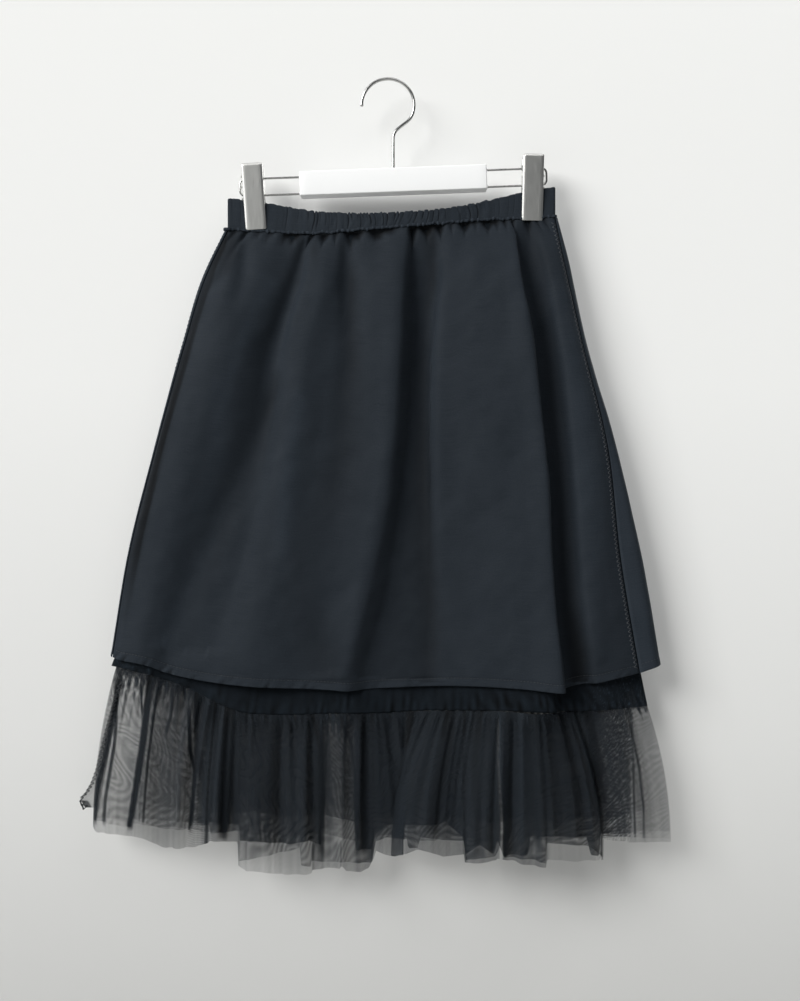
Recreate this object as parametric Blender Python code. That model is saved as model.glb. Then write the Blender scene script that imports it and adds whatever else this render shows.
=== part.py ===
"""Gathered skirt over a tulle-edged underskirt, hung by two clips from a hanger.

Metres, +Z up. The front faces -Y. The origin is the inside top of the hook's
bend, where a peg or rail carries it. Sizes and tables are in millimetres.
"""
import math
from collections import namedtuple

import bmesh
import bpy
import numpy as np
from mathutils import Matrix, Vector

MM = 0.001
SEAM_GAP = 0.3              # left between two pieces that are sewn or seated together

# ---- cloth ------------------------------------------------------------------
CLOTH = 1.0                 # wall of the outer skirt and the underskirt
NET = 1.0                   # wall that stands for the tulle
CASING = 2.4                # waistband: two cloths over the elastic
MOUTH_AT_CLIPS = 0.5        # half the gap between the waistband's walls where they are pinched
MOUTH_AT_CENTRE = 4.5       # and half-way between the clips
RIDGE_RISE = 3.2            # seam allowance turned up over the waistband's lower edge
RIDGE_PROUD = 0.8

# Lower and upper edge of the waistband, which sags between the clips.
Edge = namedtuple("Edge", "x top bottom")
WAIST = (
    Edge(-159, -119, -150),
    Edge(-122, -124, -152),
    Edge(-73, -132, -154),
    Edge(-28, -134, -151),
    Edge(12, -133, -148),
    Edge(58, -129, -144),
    Edge(105, -120, -140),
    Edge(140, -112, -139),
    Edge(166, -108, -137),
)
CLIP_GRIPS = (-118, 130)    # inner ends of the two pinched stretches

# A fold line runs down a panel. Its side is -1 where it hangs from the front of
# the waistband, 1 from the back and 0 from its end. x is where it lies at each
# level, y is its depth at each level below the waist seam, and edge is the
# height of its lower end.
Fold = namedtuple("Fold", "name side x y edge")
LEVELS = (0.0, 0.10, 0.28, 0.50, 0.75, 1.0)
OUTER_SEAT = CASING - CLOTH / 2     # under the waistband's wall, from its inner face
INNER_SEAT = CLOTH / 2

SKIRT_FRONT = (
    Fold("left seam",       -1, (-159, -179, -203, -229, -256, -274), (-5, -6, -6, -6, -5), -576),
    Fold("left turn",       -1, (-154, -173, -197, -223, -250, -267), (-8, -11, -12, -12, -10), -578),
    Fold("left bulge",      -1, (-138, -157, -166, -192, -226, -248), (-13, -22, -21, -18, -15), -581),
    Fold("left shoulder",   -1, (-116, -126, -147, -174, -213, -236), (-13, -20, -19, -17, -14), -584),
    Fold("long trough",     -1, (-84, -96, -120, -140, -190, -222), (-5, -7, -8, -9, -11), -590),
    Fold("trough rise",     -1, (-77, -87, -104, -118, -160, -190), (-8.5, -10, -12, -14, -15), -597),
    Fold("long ridge",      -1, (-62, -65, -83, -101, -113, -135), (-14, -16, -16, -18, -23), -603),
    Fold("soft trough",     -1, (-41, -39, -52, -68, -82, -72), (-9, -12, -12, -15, -18), -606),
    Fold("soft ridge",      -1, (-14, -12, -12, -16, -37, -54), (-13.5, -17, -17, -17, -18.5), -607),
    Fold("ridge by trough", -1, (18, 14, 9, 1, -21, -42), (-14, -18, -18, -18, -19), -608),
    Fold("trough floor",    -1, (27, 27, 25, 23, 5, -20), (-5.5, -6, -7, -10, -10), -607),
    Fold("trough side",     -1, (43, 48, 36, 35, 32, 20), (-6, -6, -7, -8.5, -9), -605),
    Fold("box left edge",   -1, (52, 57, 39, 39, 42, 52), (-12, -15, -13, -10, -10), -604),
    Fold("box left",        -1, (75, 76, 69, 71, 81, 91), (-16, -22, -19, -15, -14), -604),
    Fold("box right",       -1, (108, 110, 120, 130, 136, 140), (-21, -30, -30, -28, -25), -606),
    Fold("knife edge",      -1, (124, 130, 142, 154, 161, 172), (-22, -33, -34, -33, -32), -608),
    Fold("knife return",    -1, (127, 131, 142, 153, 160, 172), (-12, -20, -20, -20, -21), -606),
    Fold("recess floor",    -1, (131, 141, 154, 165, 174, 186), (-5, -7, -8, -10, -11), -603),
    Fold("recess right",    -1, (139, 151, 164, 176, 185, 197), (-6, -9, -10, -12, -13), -601),
    Fold("right ridge",     -1, (147, 159, 173, 185, 194, 206), (-12, -17, -19, -20, -20), -600),
    Fold("right panel",     -1, (157, 169, 184, 204, 214, 229), (-11, -15, -17, -17, -16), -595),
    Fold("right seam",      -1, (166, 175, 193, 217, 230, 249), (-6, -9, -10, -11, -11), -591),
)

# The back panel starts at the right seam, turns round the right edge, crosses
# the back and turns round the left edge to the left seam.
SKIRT_BACK = (
    Fold("right seam",   -1, (167, 176, 194, 218, 231, 250), (-6, -9, -10, -11, -11), -591),
    Fold("right return", -1, (168, 179, 196, 224, 249, 268), (-4, -7, -8, -9, -9), -585),
    Fold("right edge",   0, (169, 181, 198, 226, 252, 272), (0, 0, 0, 0, 0), -583),
    Fold("right turn",   1, (166, 177, 193, 220, 244, 263), (5, 8, 10, 11, 11), -586),
    Fold("back fold 1",  1, (126, 136, 148, 165, 184, 198), (10, 16, 19, 21, 22), -597),
    Fold("back dip 1",   1, (96, 100, 104, 112, 126, 138), (9, 11, 12, 13, 14), -601),
    Fold("back fold 2",  1, (48, 48, 52, 58, 66, 74), (14, 19, 22, 24, 24), -604),
    Fold("back dip 2",   1, (8, 10, 8, 6, 2, 0), (11, 13, 14, 14, 15), -605),
    Fold("back fold 3",  1, (-38, -36, -42, -52, -60, -70), (14, 19, 21, 22, 23), -604),
    Fold("back dip 3",   1, (-84, -92, -104, -116, -130, -142), (9, 11, 12, 13, 14), -599),
    Fold("back fold 4",  1, (-122, -134, -150, -167, -186, -200), (10, 16, 18, 19, 19), -590),
    Fold("left turn",    1, (-158, -177, -200, -225, -250, -267), (5, 8, 9, 10, 10), -578),
    Fold("left edge",    0, (-163, -183, -207, -232, -258, -276), (0, 0, 0, 0, 0), -574),
    Fold("left return",  -1, (-162, -182, -206, -231, -258, -276), (-4, -5, -5, -5, -4), -575),
    Fold("left seam",    -1, (-160, -180, -204, -230, -257, -275), (-5, -6, -6, -6, -5), -576),
)

UNDERSKIRT_FRONT = (
    Fold("left seam",    -1, (-156, -172, -194, -220, -246, -276), (-1, -1, -1, -1, -2), -603),
    Fold("left bulge",   -1, (-138, -150, -166, -192, -226, -246), (-7, -13, -13, -11, -9), -608),
    Fold("long trough",  -1, (-84, -96, -120, -142, -190, -222), (-2, -3.5, -4, -5, -7), -613),
    Fold("long ridge",   -1, (-62, -62, -78, -94, -112, -132), (-6.5, -9, -9, -10, -12), -631),
    Fold("soft ridge",   -1, (-14, -12, -12, -16, -37, -60), (-6.5, -9, -9, -10, -12), -631),
    Fold("left of trough", -1, (12, 6, 2, -6, -28, -44), (-7, -11, -11, -11, -12), -631),
    Fold("trough floor", -1, (30, 30, 28, 26, 10, 0), (-2, -2.5, -3, -5, -5), -631),
    Fold("flap left",    -1, (64, 64, 56, 55, 52, 42), (-4, -8, -8, -6, -5), -629),
    Fold("flap front",   -1, (88, 88, 90, 95, 100, 105), (-9, -15, -14, -12, -12), -628),
    Fold("flap right",   -1, (114, 120, 131, 141, 148, 163), (-9, -18, -20, -20, -21), -629),
    Fold("flap return",  -1, (122, 128, 138, 148, 156, 172), (-3, -4, -5, -7, -10), -629),
    Fold("recess",       -1, (138, 150, 166, 177, 184, 198), (-1, -3, -4, -5, -6), -629),
    Fold("right ridge",  -1, (148, 161, 178, 192, 202, 224), (-5, -10, -12, -13, -12), -627),
    Fold("right seam",   -1, (162, 171, 187, 209, 234, 259), (-1, -1, -1, -1, -2), -625),
)

UNDERSKIRT_BACK = (
    Fold("right seam",  1, (162, 171, 187, 209, 234, 259), (1, 1, 1, 1, 0), -625),
    Fold("back fold 1", 1, (126, 138, 150, 166, 184, 196), (4, 7, 9, 10, 11), -629),
    Fold("back dip 1",  1, (96, 100, 104, 112, 126, 138), (4, 4, 5, 6, 7), -631),
    Fold("back fold 2", 1, (48, 48, 52, 58, 66, 74), (8, 11, 13, 14, 14), -631),
    Fold("back dip 2",  1, (8, 10, 8, 6, 2, 0), (7, 7, 7, 7, 7), -631),
    Fold("back fold 3", 1, (-38, -36, -42, -52, -60, -70), (8, 11, 12, 13, 13), -631),
    Fold("back dip 3",  1, (-84, -92, -104, -116, -130, -142), (4, 4, 5, 6, 7), -628),
    Fold("back fold 4", 1, (-122, -134, -150, -168, -186, -200), (4, 7, 8, 9, 10), -618),
    Fold("left seam",   1, (-156, -172, -194, -220, -246, -276), (1, 1, 1, 1, 1), -603),
)

# A pleat of a ruffle: where it starts on the ruffle's seam, where it ends at
# the hem, its depth there and the height of the hem.
Pleat = namedtuple("Pleat", "x_seam x_hem y_hem hem")

RUFFLE_FRONT = (
    Pleat(-276, -294, -3, -747),
    Pleat(-262, -278, -12, -750),
    Pleat(-246, -262, -5, -755),
    Pleat(-228, -243, -16, -760),
    Pleat(-212, -226, -7, -765),
    Pleat(-196, -208, -19, -762),
    Pleat(-176, -190, -9, -761),
    Pleat(-164, -172, -20, -757),
    Pleat(-146, -150, -9, -777),
    Pleat(-126, -130, -22, -782),
    Pleat(-104, -105, -10, -788),
    Pleat(-84, -84, -22, -787),
    Pleat(-64, -62, -10, -785),
    Pleat(-44, -45, -22, -782),
    Pleat(-22, -24, -10, -784),
    Pleat(8, 16, -9, -770),
    Pleat(38, 4, -24, -763),
    Pleat(60, 38, -36, -764),
    Pleat(82, 66, -28, -765),
    Pleat(104, 96, -40, -770),
    Pleat(124, 122, -30, -771),
    Pleat(146, 150, -40, -773),
    Pleat(166, 182, -32, -770),
    Pleat(180, 208, -20, -772),
    Pleat(198, 224, -10, -765),
    Pleat(224, 246, -20, -757),
    Pleat(242, 264, -9, -759),
    Pleat(259, 282, -4, -761),
)
RUFFLE_BACK = (
    Pleat(259, 282, -1, -761),
    Pleat(236, 254, 12, -764),
    Pleat(212, 226, 4, -768),
    Pleat(186, 198, 18, -771),
    Pleat(160, 168, 6, -773),
    Pleat(130, 136, 22, -772),
    Pleat(100, 104, 9, -774),
    Pleat(68, 70, 24, -772),
    Pleat(36, 36, 9, -773),
    Pleat(4, 2, 22, -770),
    Pleat(-28, -32, 8, -772),
    Pleat(-62, -66, 24, -770),
    Pleat(-96, -100, 9, -768),
    Pleat(-130, -136, 22, -766),
    Pleat(-164, -172, 8, -764),
    Pleat(-198, -210, 18, -762),
    Pleat(-230, -246, 5, -756),
    Pleat(-256, -274, 12, -751),
    Pleat(-276, -294, 1, -748),
)

# ---- hanger -----------------------------------------------------------------
HOOK_WIRE = 3.3             # diameter
HOOK_RADIUS = 26.2          # to the wire's middle
HOOK_TIP_ANGLE = 180        # degrees, from +X
HOOK_END_ANGLE = -20
SHANK_X = 5.3
SHANK_TOP = -58
NECK_PULL = 12.0            # how far the double curve's ends keep their heading
BAR_SIZE = (186.4, 17.0, 24.3)
BAR_CENTRE = (5.3, 0.0, -101.3)
BAR_TILT = 2.14             # degrees, right end up
BAR_EDGE = 1.2              # rounded edges
SOCKET_DEPTH = 8.0          # how deep the shank and the wires sit in the bar
ARM_WIRE = 2.2              # diameter of the side wires
ARM_REACH = 153.3           # from the bar's middle to the end of the loop
ARM_HEIGHTS = (8.1, -8.7)   # upper and lower run, from the bar's middle
ARM_CORNER = 5.0
BORE_RUN_OUT = 5.0          # how far a bore's cutter runs past the face

CLIP_WIDTH = 20.9
CLIP_STEEL = 1.0
CLIP_FLANGE = 4.0
CLIP_FLANGE_END = 32.0      # down from the top
FLANGE_REST = 0.02          # what is left of the flanges below that, so sections match
CLIP_BLOCK_WIDTH = 15.0
CLIP_BLOCK_SPAN = (13.2, -13.2)     # top and bottom, from the wires' middle
BLOCK_FIT = 0.5             # between the block and each jaw
# Middle of the front jaw's steel, seen from the side: down from the top, and
# out from the cloth's middle.
Jaw = namedtuple("Jaw", "down out")
JAW = (Jaw(0, 9.6), Jaw(14, 8.3), Jaw(32, 6.6), Jaw(52, 4.3), Jaw(61, 3.9), Jaw(65, 5.4))
Clip = namedtuple("Clip", "side x top lean")
CLIPS = (Clip("left", -135.6, -84.9, 3.6), Clip("right", 144.9, -75.8, -1.0))


# ---- curves through tables ------------------------------------------------------
def smooth(knots, values, at):
    """Smooth curve through values at knots (rising), read at each number in at."""
    knots = np.asarray(knots, float)
    values = np.asarray(values, float)
    at = np.atleast_1d(np.asarray(at, float))
    slopes = np.gradient(values, knots, axis=0)
    low = np.clip(np.searchsorted(knots, at, side="right") - 1, 0, len(knots) - 2)
    width = knots[low + 1] - knots[low]
    t = (at - knots[low]) / width
    if values.ndim > 1:
        t, width = t[:, None], width[:, None]
    h00 = (1 + 2 * t) * (1 - t) ** 2
    h10 = t * (1 - t) ** 2
    h01 = t * t * (3 - 2 * t)
    h11 = t * t * (t - 1)
    return (h00 * values[low] + h10 * width * slopes[low]
            + h01 * values[low + 1] + h11 * width * slopes[low + 1])


def waist_height(x, edge):
    """Height of the waistband's top or bottom edge at x."""
    columns = [row.x for row in WAIST]
    x = np.clip(x, columns[0], columns[-1])
    return smooth(columns, [getattr(row, edge) for row in WAIST], x)


def mouth(x):
    """Half the gap between the waistband's two walls at x."""
    left, right = CLIP_GRIPS
    t = min(max((x - left) / (right - left), 0.0), 1.0)
    return MOUTH_AT_CLIPS + (MOUTH_AT_CENTRE - MOUTH_AT_CLIPS) * math.sin(math.pi * t) ** 2


def fold_points(folds, seat, v):
    """x, y and lower edge of each fold line at the fraction v down its panel."""
    points = []
    for fold in folds:
        depths = (fold.side * (mouth(fold.x[0]) + seat), *fold.y)
        points.append((smooth(LEVELS, fold.x, v)[0], smooth(LEVELS, depths, v)[0], fold.edge))
    return np.array(points)


def across(points, steps):
    """Smooth section through the fold points, with steps[i] pieces in gap i."""
    chords = np.linalg.norm(np.diff(points, axis=0), axis=1)
    knots = np.concatenate(([0.0], np.cumsum(np.sqrt(chords))))
    at = [knots[0]]
    for i, count in enumerate(steps):
        at.extend(knots[i] + (knots[i + 1] - knots[i]) * (k + 1) / count for k in range(count))
    return smooth(knots, points, at)


def steps_between(points, spacing):
    """Pieces for each gap between fold points, so none is much over spacing."""
    chords = np.linalg.norm(np.diff(points, axis=0), axis=1)
    return [max(1, round(float(chord) / spacing)) for chord in chords]


def fold_grid(folds, seat, rows, spacing):
    """Grid of points on a panel, row by row down from the waistband's lower edge."""
    steps = steps_between(fold_points(folds, seat, 1.0), spacing)
    fractions = np.linspace(0, 1, rows + 1)
    grid = np.array([across(fold_points(folds, seat, v), steps) for v in fractions])
    top = waist_height(grid[0, :, 0], "bottom") - SEAM_GAP
    grid[:, :, 2] = top + fractions[:, None] * (grid[:, :, 2] - top)
    return grid


def ruffle_grid(pleats, seam_folds, rows, spacing):
    """Grid of a ruffle whose top follows the lower edge of an underskirt panel."""
    seam = fold_points(seam_folds, INNER_SEAT, 1.0)
    order = np.argsort(seam[:, 0])
    seam_x, seam_y, seam_z = seam[order, 0], seam[order, 1], seam[order, 2]

    def at_depth(v):
        points = []
        for pleat in pleats:
            y_seam = float(smooth(seam_x, seam_y, pleat.x_seam)[0])
            z_seam = float(smooth(seam_x, seam_z, pleat.x_seam)[0]) - SEAM_GAP
            ease = v * (2 - v)
            points.append((
                pleat.x_seam + (pleat.x_hem - pleat.x_seam) * ease,
                y_seam + (pleat.y_hem - y_seam) * ease,
                z_seam + (pleat.hem - z_seam) * v,
            ))
        return np.array(points)

    steps = steps_between(at_depth(1.0), spacing)
    return np.array([across(at_depth(v), steps) for v in np.linspace(0, 1, rows + 1)])


# ---- building blocks ----------------------------------------------------------
def new_material(name, colour, roughness, metallic=0.0):
    material = bpy.data.materials.new(name)
    material.use_nodes = True
    shader = material.node_tree.nodes["Principled BSDF"]
    shader.inputs["Base Color"].default_value = (*colour, 1.0)
    shader.inputs["Roughness"].default_value = roughness
    shader.inputs["Metallic"].default_value = metallic
    return material


def add_object(name, data, material, parent=None):
    item = bpy.data.objects.new(name, data)
    data.materials.append(material)
    bpy.context.scene.collection.objects.link(item)
    item.parent = parent
    return item


def mesh_from(name, bm, smooth_shade=True):
    """Mesh in metres from a bmesh in millimetres."""
    bmesh.ops.recalc_face_normals(bm, faces=bm.faces)
    if bm.calc_volume(signed=True) < 0:
        bmesh.ops.reverse_faces(bm, faces=bm.faces)
    bm.transform(Matrix.Scale(MM, 4))
    mesh = bpy.data.meshes.new(name)
    bm.to_mesh(mesh)
    bm.free()
    if smooth_shade:
        mesh.shade_smooth()
        mesh.set_sharp_from_angle(angle=math.radians(35))
    return mesh


def add_sheet(name, grid, wall, material):
    """One-sided grid, thickened by a Solidify modifier into a closed wall."""
    mesh = bpy.data.meshes.new(name)
    rows, columns = grid.shape[:2]
    faces = [
        (r * columns + c, (r + 1) * columns + c, (r + 1) * columns + c + 1, r * columns + c + 1)
        for r in range(rows - 1) for c in range(columns - 1)
    ]
    mesh.from_pydata((grid.reshape(-1, 3) * MM).tolist(), [], faces)
    mesh.shade_smooth()
    item = add_object(name, mesh, material)
    solidify = item.modifiers.new("Wall", "SOLIDIFY")
    solidify.thickness = wall * MM
    solidify.offset = 0.0
    return item


def add_rings(name, rings, material, parent=None, closed_profile=True):
    """Closed body through rings of equal length, each ring a closed loop."""
    bm = bmesh.new()
    loops = [[bm.verts.new(p) for p in ring] for ring in rings]
    count = len(loops[0])
    pairs = list(zip(loops, loops[1:]))
    if closed_profile:
        pairs.append((loops[-1], loops[0]))
    else:
        bm.faces.new(loops[0])
        bm.faces.new(loops[-1])
    for first, second in pairs:
        for i in range(count):
            j = (i + 1) % count
            bm.faces.new((first[i], first[j], second[j], second[i]))
    return add_object(name, mesh_from(name, bm), material, parent)


def add_wire(name, points, diameter, material, parent=None, sides=3):
    """Round wire along points: a bevelled curve with filled caps."""
    curve = bpy.data.curves.new(name, "CURVE")
    curve.dimensions = "3D"
    curve.bevel_depth = diameter / 2 * MM
    curve.bevel_resolution = sides
    curve.use_fill_caps = True
    curve.resolution_u = 1
    curve.render_resolution_u = 0
    spline = curve.splines.new("POLY")
    spline.points.add(len(points) - 1)
    for target, point in zip(spline.points, points):
        target.co = (*(Vector(point) * MM), 1.0)
    return add_object(name, curve, material, parent)


def add_empty(name, location, tilt):
    """Pivot for a tilted piece; tilt is anticlockwise as seen from the front."""
    pivot = bpy.data.objects.new(name, None)
    bpy.context.scene.collection.objects.link(pivot)
    pivot.location = Vector(location) * MM
    pivot.rotation_euler = (0.0, -math.radians(tilt), 0.0)
    return pivot


def box_mesh(name, low, high):
    bm = bmesh.new()
    bmesh.ops.create_cube(bm, size=1.0)
    size = Vector(high) - Vector(low)
    middle = (Vector(high) + Vector(low)) / 2
    bm.transform(Matrix.Translation(middle) @ Matrix.Diagonal((*size, 1.0)))
    return mesh_from(name, bm, smooth_shade=False)


def cut_bore(body, start, end, radius, parent, sides=16):
    """Bore a round hole through body from start to end."""
    start, end = Vector(start), Vector(end)
    bm = bmesh.new()
    bmesh.ops.create_cone(bm, cap_ends=True, segments=sides, radius1=radius,
                          radius2=radius, depth=(end - start).length)
    turn = (end - start).to_track_quat("Z", "Y").to_matrix().to_4x4()
    bm.transform(Matrix.Translation((start + end) / 2) @ turn)
    cutter = bpy.data.objects.new("cutter", mesh_from("cutter", bm, smooth_shade=False))
    bpy.context.scene.collection.objects.link(cutter)
    cutter.parent = parent
    cutter.hide_render = True
    cutter.display_type = "WIRE"
    cut = body.modifiers.new("Bore", "BOOLEAN")
    cut.operation = "DIFFERENCE"
    cut.solver = "EXACT"
    cut.object = cutter


# ---- the garment --------------------------------------------------------------
def waistband(material):
    """Flattened ring: front wall, right turn, back wall, left turn."""
    left, right = WAIST[0].x, WAIST[-1].x
    half = MOUTH_AT_CLIPS + CASING / 2
    front = [(x, -(mouth(x) + CASING / 2)) for x in np.linspace(left + half, right - half, 33)]
    turn = [math.pi * k / 4 for k in range(1, 4)]
    right_end = [(right - half + half * math.sin(a), -half * math.cos(a)) for a in turn]
    left_end = [(left + half - half * math.sin(a), half * math.cos(a)) for a in turn]
    back = [(x, -y) for x, y in reversed(front)]
    path = np.array(front + right_end + back + left_end)
    along = np.roll(path, -1, axis=0) - np.roll(path, 1, axis=0)
    outward = np.stack([along[:, 1], -along[:, 0]], axis=1)
    outward /= np.linalg.norm(outward, axis=1)[:, None]
    top = waist_height(path[:, 0], "top")
    bottom = waist_height(path[:, 0], "bottom")

    def ring(out, height):
        place = path + outward * out
        return np.column_stack([place, height]).tolist()

    # The jaws press the ridge flat, so it stands proud only between them.
    free = np.array([min(1.0, (mouth(x) - MOUTH_AT_CLIPS) / RIDGE_PROUD) for x in path[:, 0]])
    wall = CASING / 2
    ridge = (wall + RIDGE_PROUD * free)[:, None]
    rings = [
        ring(-wall, top),
        ring(wall, top),
        ring(wall, bottom + RIDGE_RISE),
        ring(ridge, bottom + RIDGE_RISE * 0.6),
        ring(ridge, bottom),
        ring(-wall, bottom),
    ]
    return add_rings("waistband", rings, material)


def garment():
    outer = new_material("black woven cloth", (0.022, 0.027, 0.032), 0.75)
    lining = new_material("black underskirt cloth", (0.012, 0.014, 0.018), 0.7)
    net = new_material("black tulle", (0.02, 0.022, 0.026), 0.8)
    waistband(outer)
    add_sheet("skirt_front", fold_grid(SKIRT_FRONT, OUTER_SEAT, 14, 17), CLOTH, outer)
    add_sheet("skirt_back", fold_grid(SKIRT_BACK, OUTER_SEAT, 12, 24), CLOTH, outer)
    add_sheet("underskirt_front", fold_grid(UNDERSKIRT_FRONT, INNER_SEAT, 10, 24), CLOTH, lining)
    add_sheet("underskirt_back", fold_grid(UNDERSKIRT_BACK, INNER_SEAT, 8, 28), CLOTH, lining)
    add_sheet("ruffle_front", ruffle_grid(RUFFLE_FRONT, UNDERSKIRT_FRONT, 5, 10), NET, net)
    add_sheet("ruffle_back", ruffle_grid(RUFFLE_BACK, UNDERSKIRT_BACK, 5, 14), NET, net)


# ---- the hanger ---------------------------------------------------------------
def hook_path():
    """Round the bend from the tip, then a double curve into the straight shank."""
    centre = Vector((0.0, 0.0, HOOK_WIRE / 2 - HOOK_RADIUS))

    def on_bend(degrees):
        a = math.radians(degrees)
        return centre + HOOK_RADIUS * Vector((math.cos(a), 0.0, math.sin(a)))

    bend = [on_bend(a) for a in np.linspace(HOOK_TIP_ANGLE, HOOK_END_ANGLE, 29)]
    start = bend[-1]
    a = math.radians(HOOK_END_ANGLE)
    heading = Vector((math.sin(a), 0.0, -math.cos(a)))
    end = Vector((SHANK_X, 0.0, SHANK_TOP))
    near = start + heading * NECK_PULL
    far = end + Vector((0.0, 0.0, NECK_PULL))
    neck = [
        start * (1 - t) ** 3 + near * 3 * t * (1 - t) ** 2 + far * 3 * t * t * (1 - t) + end * t ** 3
        for t in np.linspace(0, 1, 9)[1:]
    ]
    foot = BAR_CENTRE[2] + BAR_SIZE[2] / 2 - SOCKET_DEPTH + SEAM_GAP
    return bend + neck + [Vector((SHANK_X, 0.0, foot))]


def arm_path(side):
    """U of wire from the bar's end and back; side is -1 for left and +1 for right."""
    inner = BAR_SIZE[0] / 2 - SOCKET_DEPTH + SEAM_GAP
    upper, lower = ARM_HEIGHTS
    corner = [math.pi / 2 * k / 4 for k in range(5)]
    points = [(side * inner, 0, upper)]
    for a in corner:
        points.append((side * (ARM_REACH - ARM_CORNER * (1 - math.sin(a))), 0,
                       upper - ARM_CORNER * (1 - math.cos(a))))
    for a in reversed(corner):
        points.append((side * (ARM_REACH - ARM_CORNER * (1 - math.sin(a))), 0,
                       lower + ARM_CORNER * (1 - math.cos(a))))
    points.append((side * inner, 0, lower))
    return points


def bar(material, tilted):
    half = Vector(BAR_SIZE) / 2
    item = add_object("hanger_bar", box_mesh("hanger_bar", -half, half), material, tilted)
    edge = item.modifiers.new("Edge", "BEVEL")
    edge.width = BAR_EDGE * MM
    edge.segments = 2
    fit = SEAM_GAP + ARM_WIRE / 2
    for side in (-1, 1):
        for height in ARM_HEIGHTS:
            cut_bore(item, (side * (half.x - SOCKET_DEPTH), 0, height),
                     (side * (half.x + BORE_RUN_OUT), 0, height), fit, tilted)
    top = BAR_CENTRE[2] + half.z
    cut_bore(item, (SHANK_X, 0, top - SOCKET_DEPTH), (SHANK_X, 0, top + BORE_RUN_OUT),
             SEAM_GAP + HOOK_WIRE / 2, None)


def jaw_sections(face):
    """Sections of a jaw from top to bottom: a channel whose flanges end half-way."""
    half = CLIP_WIDTH / 2
    steel = CLIP_STEEL
    rings = []
    for place in JAW:
        outer = place.out + steel / 2
        inner = place.out - steel / 2
        lip = inner - (CLIP_FLANGE if place.down < CLIP_FLANGE_END else FLANGE_REST)
        ring = (
            (-half, outer), (half, outer),
            (half, lip), (half - steel, lip),
            (half - steel, inner), (-half + steel, inner),
            (-half + steel, lip), (-half, lip),
        )
        rings.append([(x, face * y, -place.down) for x, y in ring])
    return rings


def spring_block(clip, material, tilted):
    """Block between the jaws that slides on the two wires."""
    tilt = math.radians(BAR_TILT)
    middle = (clip.x - BAR_CENTRE[0]) / math.cos(tilt)
    left, right = middle - CLIP_BLOCK_WIDTH / 2, middle + CLIP_BLOCK_WIDTH / 2
    wires_middle = sum(ARM_HEIGHTS) / 2
    rings = []
    for height in CLIP_BLOCK_SPAN:
        local = wires_middle + height
        down = clip.top - (BAR_CENTRE[2] + middle * math.sin(tilt) + local)
        out = float(smooth([row.down for row in JAW], [row.out for row in JAW], down)[0])
        depth = out - CLIP_STEEL / 2 - BLOCK_FIT
        rings.append([(left, -depth, local), (right, -depth, local),
                      (right, depth, local), (left, depth, local)])
    item = add_rings(f"clip_{clip.side}_block", rings, material, tilted, closed_profile=False)
    for height in ARM_HEIGHTS:
        cut_bore(item, (left - BORE_RUN_OUT, 0, height), (right + BORE_RUN_OUT, 0, height),
                 ARM_WIRE / 2 + SEAM_GAP, tilted)


def clip_pieces(clip, material, tilted):
    lean = add_empty(f"clip_{clip.side}_lean", (clip.x, 0, clip.top), clip.lean)
    for face, word in ((-1, "front"), (1, "back")):
        add_rings(f"clip_{clip.side}_{word}", jaw_sections(face), material, lean,
                  closed_profile=False)
    spring_block(clip, material, tilted)


def hanger():
    chrome = new_material("chromed wire", (0.60, 0.60, 0.58), 0.22, 1.0)
    steel = new_material("satin steel", (0.55, 0.54, 0.52), 0.36, 1.0)
    white = new_material("white bar", (0.86, 0.87, 0.88), 0.45)
    add_wire("hanger_hook", hook_path(), HOOK_WIRE, chrome)
    tilted = add_empty("hanger_tilt", BAR_CENTRE, BAR_TILT)
    bar(white, tilted)
    for side, word in ((-1, "left"), (1, "right")):
        add_wire(f"hanger_wire_{word}", arm_path(side), ARM_WIRE, chrome, tilted, sides=2)
    for clip in CLIPS:
        clip_pieces(clip, steel, tilted)


def main():
    for item in list(bpy.data.objects):
        bpy.data.objects.remove(item, do_unlink=True)
    garment()
    hanger()


main()
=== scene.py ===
"""Looks of the gathered skirt on its clip hanger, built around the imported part.

Metres in Blender, millimetres in the tables. +Z up and the front faces -Y.
"""
from collections import namedtuple
from math import cos, log, pi, radians, sin, sqrt

import bpy
import numpy as np
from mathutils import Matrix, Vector


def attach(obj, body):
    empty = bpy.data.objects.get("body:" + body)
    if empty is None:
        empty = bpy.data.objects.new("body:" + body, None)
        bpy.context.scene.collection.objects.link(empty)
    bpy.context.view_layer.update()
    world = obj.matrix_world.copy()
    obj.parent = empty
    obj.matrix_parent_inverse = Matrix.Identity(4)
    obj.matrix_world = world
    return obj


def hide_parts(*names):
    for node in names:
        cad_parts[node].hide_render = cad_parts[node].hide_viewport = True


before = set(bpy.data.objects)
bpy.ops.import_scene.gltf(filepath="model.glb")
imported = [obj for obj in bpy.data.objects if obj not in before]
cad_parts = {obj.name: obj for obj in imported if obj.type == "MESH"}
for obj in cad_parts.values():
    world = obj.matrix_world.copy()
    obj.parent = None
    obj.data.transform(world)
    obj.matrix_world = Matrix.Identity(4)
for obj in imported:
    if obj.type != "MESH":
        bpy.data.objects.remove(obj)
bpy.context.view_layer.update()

MM = 0.001
SEAM_GAP = 0.3              # left between two pieces that are sewn or seated together

# ---- the garment's form ----
CLOTH = 1.0                 # wall of the CAD's skirt and underskirt
CASING = 2.4                # waistband: two cloths over the elastic
MOUTH_AT_CLIPS = 0.5        # half the gap between the waistband's walls where they are pinched
MOUTH_AT_CENTRE = 4.5       # and half-way between the clips
CLIP_GRIPS = (-118, 130)    # inner ends of the two pinched stretches
# The waistband sags between the clips: x, and the heights of its two edges there.
WAIST_X = (-159, -122, -73, -28, 12, 58, 105, 140, 166)
WAIST_TOP = (-119, -124, -132, -134, -133, -129, -120, -112, -108)
WAIST_BOTTOM = (-150, -152, -154, -151, -148, -144, -140, -139, -137)

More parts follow.
